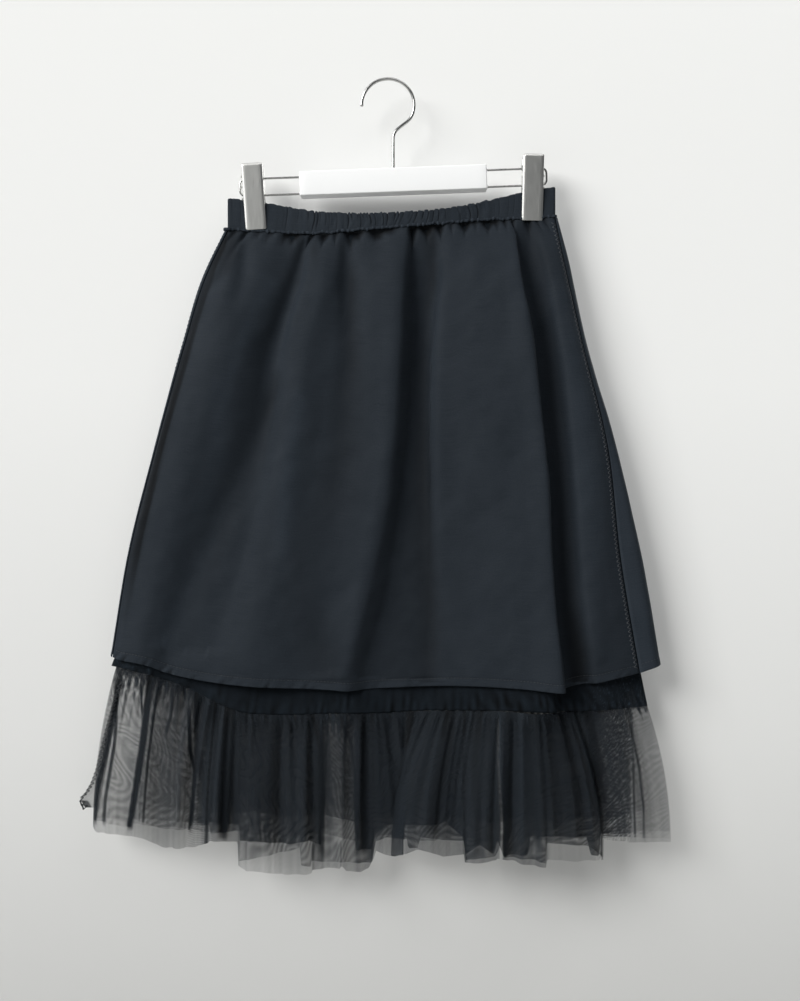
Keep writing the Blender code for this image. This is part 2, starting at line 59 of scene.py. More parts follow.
# A fold line runs down a panel: its x at each level, its depth at each level below the
# waist seam, and the height of its lower end. It hangs from the front of the waistband
# where its depths are below 0, from the back above 0 and from the band's end at 0.
LEVELS = (0.0, 0.10, 0.28, 0.50, 0.75, 1.0)
OUTER_SEAT = CASING - CLOTH / 2     # under the waistband's wall, from its inner face
INNER_SEAT = CLOTH / 2
SKIRT_FRONT = (
    ((-159, -179, -203, -229, -256, -274), (-5, -6, -6, -6, -5), -576),
    ((-154, -173, -197, -223, -250, -267), (-8, -11, -12, -12, -10), -578),
    ((-138, -157, -166, -192, -226, -248), (-13, -22, -21, -18, -15), -581),
    ((-116, -126, -147, -174, -213, -236), (-13, -20, -19, -17, -14), -584),
    ((-84, -96, -120, -140, -190, -222), (-5, -7, -8, -9, -11), -590),
    ((-77, -87, -104, -118, -160, -190), (-8.5, -10, -12, -14, -15), -597),
    ((-62, -65, -83, -101, -113, -135), (-14, -16, -16, -18, -23), -603),
    ((-41, -39, -52, -68, -82, -72), (-9, -12, -12, -15, -18), -606),
    ((-14, -12, -12, -16, -37, -54), (-13.5, -17, -17, -17, -18.5), -607),
    ((18, 14, 9, 1, -21, -42), (-14, -18, -18, -18, -19), -608),
    ((27, 27, 25, 23, 5, -20), (-5.5, -6, -7, -10, -10), -607),
    ((43, 48, 36, 35, 32, 20), (-6, -6, -7, -8.5, -9), -605),
    ((52, 57, 39, 39, 42, 52), (-12, -15, -13, -10, -10), -604),
    ((75, 76, 69, 71, 81, 91), (-16, -22, -19, -15, -14), -604),
    ((108, 110, 120, 130, 136, 140), (-21, -30, -30, -28, -25), -606),
    ((124, 130, 142, 154, 161, 172), (-22, -33, -34, -33, -32), -608),
    ((127, 131, 142, 153, 160, 172), (-12, -20, -20, -20, -21), -606),
    ((131, 141, 154, 165, 174, 186), (-5, -7, -8, -10, -11), -603),
    ((139, 151, 164, 176, 185, 197), (-6, -9, -10, -12, -13), -601),
    ((147, 159, 173, 185, 194, 206), (-12, -17, -19, -20, -20), -600),
    ((157, 169, 184, 204, 214, 229), (-11, -15, -17, -17, -16), -595),
    ((166, 175, 193, 217, 230, 249), (-6, -9, -10, -11, -11), -591),
)
# The back panel starts at the right seam, turns round the right edge, crosses the back
# and turns round the left edge to the left seam.
SKIRT_BACK = (
    ((167, 176, 194, 218, 231, 250), (-6, -9, -10, -11, -11), -591),
    ((168, 179, 196, 224, 249, 268), (-4, -7, -8, -9, -9), -585),
    ((169, 181, 198, 226, 252, 272), (0, 0, 0, 0, 0), -583),
    ((166, 177, 193, 220, 244, 263), (5, 8, 10, 11, 11), -586),
    ((126, 136, 148, 165, 184, 198), (10, 16, 19, 21, 22), -597),
    ((96, 100, 104, 112, 126, 138), (9, 11, 12, 13, 14), -601),
    ((48, 48, 52, 58, 66, 74), (14, 19, 22, 24, 24), -604),
    ((8, 10, 8, 6, 2, 0), (11, 13, 14, 14, 15), -605),
    ((-38, -36, -42, -52, -60, -70), (14, 19, 21, 22, 23), -604),
    ((-84, -92, -104, -116, -130, -142), (9, 11, 12, 13, 14), -599),
    ((-122, -134, -150, -167, -186, -200), (10, 16, 18, 19, 19), -590),
    ((-158, -177, -200, -225, -250, -267), (5, 8, 9, 10, 10), -578),
    ((-163, -183, -207, -232, -258, -276), (0, 0, 0, 0, 0), -574),
    ((-162, -182, -206, -231, -258, -276), (-4, -5, -5, -5, -4), -575),
    ((-160, -180, -204, -230, -257, -275), (-5, -6, -6, -6, -5), -576),
)
UNDERSKIRT_FRONT = (
    ((-156, -172, -194, -220, -246, -276), (-1, -1, -1, -1, -2), -603),
    ((-138, -150, -166, -192, -226, -246), (-7, -13, -13, -11, -9), -608),
    ((-84, -96, -120, -142, -190, -222), (-2, -3.5, -4, -5, -7), -613),
    ((-62, -62, -78, -94, -112, -132), (-6.5, -9, -9, -10, -12), -631),
    ((-14, -12, -12, -16, -37, -60), (-6.5, -9, -9, -10, -12), -631),
    ((12, 6, 2, -6, -28, -44), (-7, -11, -11, -11, -12), -631),
    ((30, 30, 28, 26, 10, 0), (-2, -2.5, -3, -5, -5), -631),
    ((64, 64, 56, 55, 52, 42), (-4, -8, -8, -6, -5), -629),
    ((88, 88, 90, 95, 100, 105), (-9, -15, -14, -12, -12), -628),
    ((114, 120, 131, 141, 148, 163), (-9, -18, -20, -20, -21), -629),
    ((122, 128, 138, 148, 156, 172), (-3, -4, -5, -7, -10), -629),
    ((138, 150, 166, 177, 184, 198), (-1, -3, -4, -5, -6), -629),
    ((148, 161, 178, 192, 202, 224), (-5, -10, -12, -13, -12), -627),
    ((162, 171, 187, 209, 234, 259), (-1, -1, -1, -1, -2), -625),
)
UNDERSKIRT_BACK = (
    ((162, 171, 187, 209, 234, 259), (1, 1, 1, 1, 0), -625),
    ((126, 138, 150, 166, 184, 196), (4, 7, 9, 10, 11), -629),
    ((96, 100, 104, 112, 126, 138), (4, 4, 5, 6, 7), -631),
    ((48, 48, 52, 58, 66, 74), (8, 11, 13, 14, 14), -631),
    ((8, 10, 8, 6, 2, 0), (7, 7, 7, 7, 7), -631),
    ((-38, -36, -42, -52, -60, -70), (8, 11, 12, 13, 13), -631),
    ((-84, -92, -104, -116, -130, -142), (4, 4, 5, 6, 7), -628),
    ((-122, -134, -150, -168, -186, -200), (4, 7, 8, 9, 10), -618),
    ((-156, -172, -194, -220, -246, -276), (1, 1, 1, 1, 1), -603),
)
# A pleat of a ruffle: x on the ruffle's seam, x, depth and height at the hem.
RUFFLE_FRONT = (
    (-276, -294, -3, -747), (-262, -278, -12, -750), (-246, -262, -5, -755),
    (-228, -243, -16, -760), (-212, -226, -7, -765), (-196, -208, -19, -762),
    (-176, -190, -9, -761), (-164, -172, -20, -757), (-146, -150, -9, -777),
    (-126, -130, -22, -782), (-104, -105, -10, -788), (-84, -84, -22, -787), (-64, -62, -10, -785),
    (-44, -45, -22, -782), (-22, -24, -10, -784), (8, 16, -9, -770), (38, 4, -24, -763),
    (60, 38, -36, -764), (82, 66, -28, -765), (104, 96, -40, -770), (124, 122, -30, -771),
    (146, 150, -40, -773), (166, 182, -32, -770), (180, 208, -20, -772), (198, 224, -10, -765),
    (224, 246, -20, -757), (242, 264, -9, -759), (259, 282, -4, -761),
)
RUFFLE_BACK = (
    (259, 282, -1, -761), (236, 254, 12, -764), (212, 226, 4, -768), (186, 198, 18, -771),
    (160, 168, 6, -773), (130, 136, 22, -772), (100, 104, 9, -774), (68, 70, 24, -772),
    (36, 36, 9, -773), (4, 2, 22, -770), (-28, -32, 8, -772), (-62, -66, 24, -770),
    (-96, -100, 9, -768), (-130, -136, 22, -766), (-164, -172, 8, -764), (-198, -210, 18, -762),
    (-230, -246, 5, -756), (-256, -274, 12, -751), (-276, -294, 1, -748),
)


# ---- curves ----
def ramp(value, start, width):
    """0 up to start, rising to 1 over width."""
    return np.clip((value - start) / width, 0, 1)


def chords(points):
    """Distances from each point of a path to the next."""
    return np.linalg.norm(np.diff(points, axis=0), axis=-1)


def run_along(points):
    """Length of a path up to each of its points; a grid's paths run down its columns."""
    steps = chords(points)
    return np.concatenate((np.zeros_like(steps[:1]), np.cumsum(steps, axis=0)))


def run_across(grid):
    """Length of a grid's rows up to each of their points."""
    return run_along(grid.swapaxes(0, 1)).T


def places_at(at, marks, points):
    """Points of a path at these marks along it."""
    return np.column_stack([np.interp(at, marks, column) for column in np.transpose(points)])


def smooth(knots, values, at):
    """Smooth curve through values at rising knots, read at each number in at."""
    knots, values = np.asarray(knots, float), np.asarray(values, float)
    at = np.atleast_1d(np.asarray(at, float))
    slopes = np.gradient(values, knots, axis=0)
    low = np.clip(np.searchsorted(knots, at, side="right") - 1, 0, len(knots) - 2)
    width = knots[low + 1] - knots[low]
    t = (at - knots[low]) / width
    if values.ndim > 1:
        t, width = t[:, None], width[:, None]
    return ((1 + 2 * t) * (1 - t) ** 2 * values[low] + t * (1 - t) ** 2 * width * slopes[low]
            + t * t * (3 - 2 * t) * values[low + 1] + t * t * (t - 1) * width * slopes[low + 1])


def ripples(seed, shortest, longest, lean=0.0, spread=0.6, count=40):
    """Seeded sum of plane waves, of about unit size; lean turns the crests from upright."""
    rng = np.random.default_rng(seed)
    lengths = np.exp(rng.uniform(log(shortest), log(longest), count))
    turns = rng.normal(lean, spread, count)
    phases = rng.uniform(0, 2 * pi, count)
    sizes = lengths / longest

    def read(u, v=0.0):
        total = np.zeros(np.broadcast(u, v).shape)
        for length, turn, phase, size in zip(lengths, turns, phases, sizes):
            way = (u * cos(turn) + v * sin(turn)) * 2 * pi / length
            total += size * np.sin(way + phase)
        return total / sqrt(float((sizes ** 2).sum()) / 2)

    return read


def waist_height(x, edge):
    """Height of the waistband's top or bottom edge at x."""
    return smooth(WAIST_X, edge, np.clip(x, WAIST_X[0], WAIST_X[-1]))


def mouth(x):
    """Half the gap between the waistband's two walls at x."""
    t = ramp(x, CLIP_GRIPS[0], CLIP_GRIPS[1] - CLIP_GRIPS[0])
    return MOUTH_AT_CLIPS + (MOUTH_AT_CENTRE - MOUTH_AT_CLIPS) * np.sin(pi * t) ** 2


# ---- panels and nets as grids ----
def fold_points(folds, seat, v):
    """x, y and lower edge of each fold line at the fraction v down its panel."""
    points = []
    for x, y, edge in folds:
        depths = (np.sign(y[0]) * (mouth(x[0]) + seat), *y)
        points.append((smooth(LEVELS, x, v)[0], smooth(LEVELS, depths, v)[0], edge))
    return np.array(points)


def across(points, steps):
    """Smooth section through the fold points, with steps[i] pieces in gap i."""
    knots = np.concatenate(([0.0], np.cumsum(np.sqrt(chords(points)))))
    at = [0.0]
    for low, high, count in zip(knots, knots[1:], steps):
        at.extend(low + (high - low) * (k + 1) / count for k in range(count))
    return smooth(knots, points, at)


def steps_between(points, spacing):
    """Pieces for each gap between fold points, so none is much over spacing."""
    return [max(1, round(float(chord) / spacing)) for chord in chords(points)]


def panel_grid(folds, seat, length, across_step, down_step, fine, top, bottom):
    """The CAD panel's surface again, with rows fine apart over its top and bottom mm."""
    low = length - bottom
    fractions = np.concatenate((np.arange(0, top, fine), np.arange(top, low, down_step),
                                np.arange(low, length, fine), [length])) / length
    steps = steps_between(fold_points(folds, seat, 1.0), across_step)
    grid = np.array([across(fold_points(folds, seat, v), steps) for v in fractions])
    seam = waist_height(grid[0, :, 0], WAIST_BOTTOM) - SEAM_GAP
    grid[:, :, 2] = seam + fractions[:, None] * (grid[:, :, 2] - seam)
    return grid


# The camera looks straight at the garment's front from here.
VIEW_X, VIEW_Z = 12.0, -420.0
VIEW_DISTANCE = 1250.0


def apparent(x, y, z):
    """Where a point shows in the garment's middle plane, seen straight from the front."""
    scale = 1 + y / VIEW_DISTANCE
    return VIEW_X + (x - VIEW_X) / scale, VIEW_Z + (z - VIEW_Z) / scale


def behind_view(shown, middle, y):
    """x or z of a point at depth y that shows at this place; middle is the view's."""
    return middle + (shown - middle) * (1 + y / VIEW_DISTANCE)


def left_rise(x):
    """How far the underskirt's hem climbs towards its left end, above the CAD's."""
    return np.interp(x, (-258, -228, -203, -173, -146), (18, 16, 13, 5, 0))


def seam_rise(x):
    """How far the ruffle's seam lies above the CAD's at each x: it climbs at both ends."""
    return left_rise(x) + 20 * ramp(x, 205, 28)


NET_ROWS = 34
NET_STEP = 1.1              # between a net's columns, at the hem


def net_grid(pleats, seam_folds, hem, shorter):
    """A layer of the ruffle, on the CAD ruffle's surface from the seam to its own hem.

    hem lists apparent x and z along the hem; without it the hem lies shorter mm
    above the CAD ruffle's.
    """
    seam = fold_points(seam_folds, INNER_SEAT, 1.0)
    seam = seam[np.argsort(seam[:, 0])]

    def at_depth(v):
        ease = min(v, 1.0) * (2 - min(v, 1.0))
        points = []
        for x_seam, x_hem, y_hem, z_hem in pleats:
            _, y, z = smooth(seam[:, 0], seam, x_seam)[0]
            z -= SEAM_GAP
            points.append((x_seam + (x_hem - x_seam) * ease, y + (y_hem - y) * ease,
                           z + (z_hem - z) * v))
        return np.array(points)

    steps = steps_between(at_depth(1.0), NET_STEP)
    dense = np.array([across(at_depth(v), steps) for v in np.linspace(-0.14, 1.1, 63)])
    whole = across(at_depth(1.0), steps)
    top = across(at_depth(0.0), steps)[:, 2] + seam_rise(whole[:, 0])
    low = whole[:, 2] + shorter
    if hem:
        shown, _ = apparent(*whole.T)
        low = behind_view(np.interp(shown, *np.transpose(hem)), VIEW_Z, whole[:, 1])
    grid = np.empty((NET_ROWS, len(whole), 3))
    grid[:, :, 2] = np.linspace(top, low, NET_ROWS)
    for c in range(len(whole)):
        grid[:, c, :2] = places_at(-grid[:, c, 2], -dense[:, c, 2], dense[:, c, :2])
    return grid


def outward(grid):
    """Unit normals of a grid, away from the garment's inside."""
    normal = np.cross(np.gradient(grid, axis=0), np.gradient(grid, axis=1))
    return normal / np.maximum(np.linalg.norm(normal, axis=2), 1e-9)[:, :, None]


def raised(grid, height):
    """The grid moved outward by height at each point."""
    return grid + outward(grid) * height[:, :, None]


def spans(grid):
    """Cloth coordinates in mm: across from the panel's middle, and down from its top."""
    u = run_across(grid)
    return u - u[:, [grid.shape[1] // 2]], run_along(grid)


def edge_fade(grid):
    """0 at the first and last column and 1 from the fourth in."""
    number = np.arange(grid.shape[1])
    return ramp(np.minimum(number, number[::-1]), 0, 3.0)


# ---- meshes ----
SHELL = 0.7                 # wall of the visible cloth
Finish = namedtuple("Finish", "material slot")


def linked(name, data):
    """Object with this data, in the scene."""
    item = bpy.data.objects.new(name, data)
    bpy.context.scene.collection.objects.link(item)
    return item


def plain_mesh(name, points, faces, material):
    mesh = bpy.data.meshes.new(name)
    mesh.from_pydata(points, [], faces)
    mesh.materials.append(material)
    return mesh


def mesh_piece(name, points, faces, finish, replaced=(), sharp=None):
    """Piece of the object, from points in mm and faces."""
    points = np.reshape(points, (-1, 3)) * MM
    mesh = plain_mesh(name, points.tolist(), faces, finish.material)
    mesh.shade_smooth()
    if sharp is not None:
        mesh.set_sharp_from_angle(angle=radians(sharp))
    item = linked(name, mesh)
    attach(item, "root")
    if replaced:
        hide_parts(*replaced)
    return item


def quads(rows, columns, row_loop=False, column_loop=False, flip=False):
    """Quads of a grid, outside as outward() has it; a loop joins last to first."""
    faces = []
    for r in range(rows if row_loop else rows - 1):
        here, down = r * columns, (r + 1) % rows * columns
        for c in range(columns if column_loop else columns - 1):
            after = (c + 1) % columns
            face = (here + c, down + c, down + after, here + after)
            faces.append((face[0], face[3], face[2], face[1]) if flip else face)
    return faces


def lay_cloth(item, u, v):
    """UV layer with cloth coordinates in mm, which the weave and the net read."""
    corners = np.zeros(len(item.data.loops), np.int32)
    item.data.loops.foreach_get("vertex_index", corners)
    layer = item.data.uv_layers.new(name="cloth")
    pairs = np.stack([u.ravel()[corners], v.ravel()[corners]], axis=1)
    layer.uv.foreach_set("vector", pairs.astype(np.float32).ravel())


def add_values(item, **values):
    """Named numbers at every point, which the materials read."""
    for name, numbers in values.items():
        attribute = item.data.attributes.new(name, "FLOAT", "POINT")
        attribute.data.foreach_set("value", np.asarray(numbers, np.float32).ravel())


def set_tone(item, values):
    """How light the cloth's colour is made at every point, against its plain colour: painted light
    and shade, and its own uneven tone.
    """
    add_values(item, tone=np.clip(values, 0.12, 1.6))


def thicken(item, wall, offset):
    """Gives the piece a wall; offset -1 keeps it inside the surface and 0 centres it."""
    solid = item.modifiers.new("Wall", "SOLIDIFY")
    solid.thickness = wall * MM
    solid.offset = offset


def cloth_piece(name, grid, finish, replaced=()):
    """Cloth grid with its own coordinates."""
    item = mesh_piece(name, grid, quads(*grid.shape[:2]), finish, replaced)
    lay_cloth(item, *spans(grid))
    return item


def panel_piece(name, grid, finish, node, tone):
    """Panel of cloth with a wall, in place of a CAD node."""
    item = cloth_piece(name, grid, finish, [node])
    thicken(item, SHELL, 0.0)
    set_tone(item, tone)
    return item


def tube(points, radius, sides):
    """Points and faces of a round tube along a path, with flat ends."""
    path = np.asarray(points, float)
    along = np.gradient(path, axis=0)
    along /= np.linalg.norm(along, axis=1)[:, None]
    side = np.cross(along[0], (0.0, 1.0, 0.0))
    if np.linalg.norm(side) < 0.1:
        side = np.cross(along[0], (0.0, 0.0, 1.0))
    turn = np.linspace(0, 2 * pi, sides, endpoint=False)[:, None]
    rings = []
    for place, way, size in zip(path, along, np.broadcast_to(radius, len(path))):
        side = side - way * side.dot(way)
        side /= np.linalg.norm(side)
        rings.append(place + size * (np.cos(turn) * side + np.sin(turn) * np.cross(way, side)))
    last = (len(path) - 1) * sides
    ends = [tuple(reversed(range(sides))), tuple(range(last, last + sides))]
    return np.concatenate(rings), quads(len(path), sides, column_loop=True, flip=True) + ends


def join_parts(parts):
    """One set of points and faces from several."""
    points, faces, start = [], [], 0
    for some, theirs in parts:
        points.append(np.asarray(some, float))
        faces.extend(tuple(i + start for i in face) for face in theirs)
        start += len(some)
    return np.concatenate(points), faces


def zigzag(points, radius):
    """Thread that runs straight from each point to the next."""
    return join_parts([tube(leg, radius, 5) for leg in zip(points[:-1], points[1:])])


# ---- materials ----
class Output:
    """A node's output. Arithmetic with outputs and numbers adds Math nodes."""

    def __init__(self, look, socket):
        self.look, self.socket = look, socket


for sign, kind in (("add", "ADD"), ("sub", "SUBTRACT"), ("mul", "MULTIPLY"), ("truediv", "DIVIDE")):
    setattr(Output, f"__{sign}__", lambda a, b, kind=kind: a.look.maths(kind, a, b))
    setattr(Output, f"__r{sign}__", lambda a, b, kind=kind: a.look.maths(kind, b, a))


class Look:
    """A material's node tree, with short ways to add nodes."""

    def __init__(self, name):
        self.material = bpy.data.materials.new(name)
        self.material.use_nodes = True
        self.tree = self.material.node_tree
        self.shader = self.tree.nodes["Principled BSDF"]

    def put(self, socket, value):
        """Links an output to a socket, or sets the socket's own value."""
        if isinstance(value, Output):
            self.tree.links.new(value.socket, socket)
        else:
            socket.default_value = value

    def node(self, kind, *inputs, **settings):
        """Outputs of a new node, by name and by number; its inputs are (socket, value)."""
        made = self.tree.nodes.new("ShaderNode" + kind)
        for key, value in settings.items():
            setattr(made, key, value)
        for key, value in inputs:
            self.put(made.inputs[key], value)
        outputs = [(s.name, Output(self, s)) for s in made.outputs]
        return dict(outputs) | dict(enumerate(found for _, found in outputs))

    def set(self, **values):
        """Sets or links the shader's inputs."""
        for key, value in values.items():
            self.put(self.shader.inputs[key.replace("_", " ")], value)

    def maths(self, operation, first, second=0.0):
        return self.node("Math", (0, first), (1, second), operation=operation)[0]

    def place(self):
        """Where on the object a point is, in metres."""
        return self.node("TexCoord")["Object"]

    def axes(self, vector):
        found = self.node("SeparateXYZ", (0, vector))
        return found[0], found[1], found[2]

    def value(self, name):
        """Number that add_values() gave the points."""
        return self.node("Attribute", attribute_name=name)["Fac"]

    def noise(self, source, size, detail=2.0):
        """Noise from 0 to 1 over coordinates times size in each direction."""
        scaled = self.node("VectorMath", (0, source), (1, size), operation="MULTIPLY")[0]
        return self.node("TexNoise", ("Vector", scaled), ("Scale", 1.0), ("Detail", detail))[0]

    def between(self, share, low, high):
        """Colour that runs from low to high with share."""
        return self.node("Mix", (0, share), (6, (*low, 1.0)), (7, (*high, 1.0)),
                         data_type="RGBA")[2]

    def times(self, colour, factor):
        """Colour times factor."""
        return self.node("VectorMath", (0, colour), (3, factor), operation="SCALE")[0]

    def spread(self, value, low, high, to_low=0.0, to_high=1.0):
        """value taken from one range to another."""
        return self.node("MapRange", (0, value), (1, low), (2, high), (3, to_low),
                         (4, to_high))[0]

    def bump(self, height, distance):
        return self.node("Bump", ("Height", height), ("Distance", distance),
                         ("Strength", 1.0))["Normal"]


def woven(name, dark, light, roughness, pitch, sheen, tint):
    """Plain-woven cloth: crossing threads, slubs along the weft and soft mottling.

    Its points say how light its colour is, painted light and shade included, and how strongly it
    shows light specks of painted glint (gathered).
    """
    look = Look(name)
    place = look.node("UVMap", uv_map="cloth")[0]
    x, y, _ = look.axes(place)
    turn = 2 * pi / pitch
    weave = look.maths("SINE", x * turn) * look.maths("SINE", y * turn)
    slub = look.noise(place, (0.035, 1.3, 1.0), 3.0)
    mottle = look.noise(place, (0.045, 0.03, 1.0), 3.0)
    grain = look.noise(place, (0.7, 0.7, 1.0), 1.0)
    mixed = slub * 0.4 + (mottle * 0.3 + grain * 0.3)
    # Light specks of painted glint, where the points ask for them.
    painted_glints = look.spread(look.noise(place, (0.75, 0.3, 1.0)), 0.54, 0.70, 0.0, 2.6)
    tone = look.value("tone") * (1.0 + look.value("gathered") * painted_glints)
    look.set(
        Base_Color=look.times(look.between(look.spread(mixed, 0.35, 0.65), dark, light), tone),
        Roughness=look.spread(mixed, 0.3, 0.7, roughness + 0.05, roughness - 0.05),
        Sheen_Weight=sheen, Sheen_Roughness=0.5, Sheen_Tint=(*tint, 1.0),
        Specular_IOR_Level=0.09, Normal=look.bump(weave * 0.25 + (slub * 0.8 + grain * 0.9), 6e-5),
    )
    return look.material


def thread_look(name, colour):
    look = Look(name)
    twist = look.noise(look.place(), (900.0, 900.0, 2500.0), 1.0)
    look.set(Base_Color=look.between(twist, [c * 0.7 for c in colour], colour), Roughness=0.7,
             Normal=look.bump(twist, 0.0001))
    return look.material


NET_CELL = 1.15             # from hole to hole
NET_COVER = 0.37            # share of one layer of tulle that is thread
HOLES = 0.42                # how clearly the net's holes show
MOIRE = 0.60                # how strongly its threads bunch into faint waves


def net_cover(layers):
    """Share of a net that is thread, when it stands for this many layers."""
    return np.clip(1 - (1 - NET_COVER) ** layers, 0.0, 1.0)


def tulle(name, colour):
    """Net with six-sided holes.

    Its points say how much of it is thread (net), how light its colour is, painted light and
    shade included, how crumpled (crushed) and how strongly it shows waves (waves).
    """
    look = Look(name)
    place = look.node("UVMap", uv_map="cloth")[0]
    slow = look.noise(place, (0.030, 0.022, 1.0), 0.0)
    x, y, _ = look.axes(place)
    over = x * (2 * pi / NET_CELL)
    half, steep = over * 0.5, y * (2 * pi / NET_CELL) * (sqrt(3) / 2)
    first, second, third = (look.maths("COSINE", way) for way in (over, half + steep, half - steep))
    shimmer = look.maths("SINE", slow * 48.0 + (y * 0.75 + x * 0.60)) * MOIRE
    shimmer *= look.value("waves")
    pattern = shimmer - (first + (second + third)) * HOLES
    cover = look.value("net")
    strokes = look.spread(look.noise(place, (0.8, 0.22, 1.0)), 0.48, 0.66, 0.0, 0.55)
    solid = cover + cover * (1.0 - cover) * pattern - look.value("crushed") * strokes
    look.set(Base_Color=look.times(colour, look.value("tone")), Roughness=0.8,
             Specular_IOR_Level=0.15, Alpha=look.node("Clamp", (0, solid))[0])
    return look.material


def hard_look(name, dark, light, clouds, grain, roughness, bump, metallic):
    """Metal or plastic. clouds and grain are noises (size, detail); the grain is brushed
    in or moulded, and sets the roughness between two values."""
    look = Look(name)
    place = look.place()
    grain = look.noise(place, *grain)
    look.set(Base_Color=look.between(look.noise(place, *clouds), dark, light), Metallic=metallic,
             Roughness=look.spread(grain, 0.3, 0.7, *roughness), Normal=look.bump(grain, bump))
    return look.material


def metal(name, colour, grain, roughness):
    """Plated or brushed metal; grain is how fine the brushing is in each direction."""
    return hard_look(name, [c * 0.93 for c in colour], colour, ((30.0, 30.0, 30.0), 2.0),
                     (grain, 3.0), (roughness - 0.05, roughness + 0.06), 0.00001, 1.0)


OUTER_CLOTH = Finish(woven("black woven cloth", (0.0140, 0.0185, 0.0246), (0.0212, 0.0268, 0.0344),
                           0.70, 0.62, 0.05, (0.7, 0.83, 1.0)), "outer_cloth")
# Darker than the outer cloth: partly the underskirt cloth's own colour, partly painted shade where
# it shows under the outer hem.
LINING = Finish(woven("black underskirt cloth", (0.0046, 0.0070, 0.0100), (0.0064, 0.0092, 0.0126),
                      0.85, 0.5, 0.04, (0.7, 0.85, 1.0)), "underskirt_cloth")
THREAD = Finish(thread_look("black sewing thread", (0.034, 0.039, 0.046)), "outer_cloth")
SEAM_THREAD = Finish(thread_look("grey-black overlock thread", (0.060, 0.067, 0.078)),
                     "outer_cloth")
DARK_THREAD = Finish(thread_look("black overlock thread", (0.014, 0.017, 0.021)), "tulle")
TULLE = Finish(tulle("black tulle", (0.0150, 0.0198, 0.0258)), "tulle")
CHROME = Finish(metal("bright plated wire", (0.56, 0.56, 0.55), (300.0, 300.0, 300.0), 0.20),
                "bright_wire")
STEEL = Finish(metal("satin steel", (0.67, 0.67, 0.65), (2500.0, 300.0, 60.0), 0.40),
               "satin_steel")
WHITE = Finish(hard_look("white bar plastic", (0.955, 0.96, 0.965), (0.98, 0.985, 0.99),
                         ((18.0, 18.0, 18.0), 3.0), ((700.0, 700.0, 700.0), 2.0), (0.36, 0.44),
                         0.00003, 0.0), "white_bar")


# ---- outer skirt ----
# A gather is a crease that starts under the waistband: where it is along the seam,
# its width, the depth of the notch at the seam, the depth and length of the crease
# below it, and how far it drifts sideways for each mm down.
Gather = namedtuple("Gather", "x width notch depth length drift")
GATHERS = [Gather(*row) for row in (
    (-151, 4, 0.8, 1, 20, -0.3), (-141, 3, 1.6, 1.4, 40, -0.12), (-129, 4, 1.4, 0.6, 12, -0.15),
    (-117, 4, 1.6, 0.8, 16, -0.2), (-101, 4, 3.2, 1, 16, -0.2), (-93, 7, 3, 1.2, 22, -0.2),
    (-75, 4, 2.2, 1, 18, -0.3), (-63, 7, 3, 1, 14, -0.1), (-52, 4, 1.4, 0.6, 12, -0.05),
    (-38, 6, 3, 1.8, 50, 0.02), (-30, 7, 3.4, 0.9, 14, -0.05), (-11, 10, 3.8, 2.2, 30, -0.05),
    (1, 5, 2.6, 0.7, 12, 0), (10, 3, 1.2, 0.5, 10, 0), (25, 5, 3, 1.6, 60, 0.02),
    (38, 8, 3.2, 1.2, 20, 0), (51, 6, 3.2, 1.2, 22, 0.02), (63, 4, 1.4, 0.6, 10, 0.02),
    (77, 8, 3.6, 1.2, 18, -0.05), (87, 4, 1.4, 0.6, 10, 0.05), (99, 8, 4, 1.3, 20, 0.05),
    (108, 5, 1.8, 0.7, 12, 0.08), (116, 4, 2, 0.7, 12, 0.1), (124, 3, 2.2, 1, 20, 0.1),
    (139, 5, 2.2, 1.4, 34, -0.1), (147, 3, 1.2, 0.7, 14, 0.25), (155, 4, 1.2, 0.8, 18, 0.25),
)]
NOTCH_LENGTH = 8.0
NOTCH_FOLLOWS = 0.16        # added to it for each mm of the crease below
NOTCH_PAINTED_SHADE = 0.34          # painted shade in a notch: darkening for each mm of its depth
SEAM_EASE = 1.8             # below the seam, before a gather reaches its depth
LOBE = 1.1                  # how far the cloth puffs out between the gathers
LOBE_LENGTH = 26.0
SETTLE = 60.0               # below the seam, before the cloth's own waves are full
HEM_STITCH = 8.0            # stitch line above the outer hem
ROPE_PITCH = 8.0            # of the twisted wrinkles along the hem

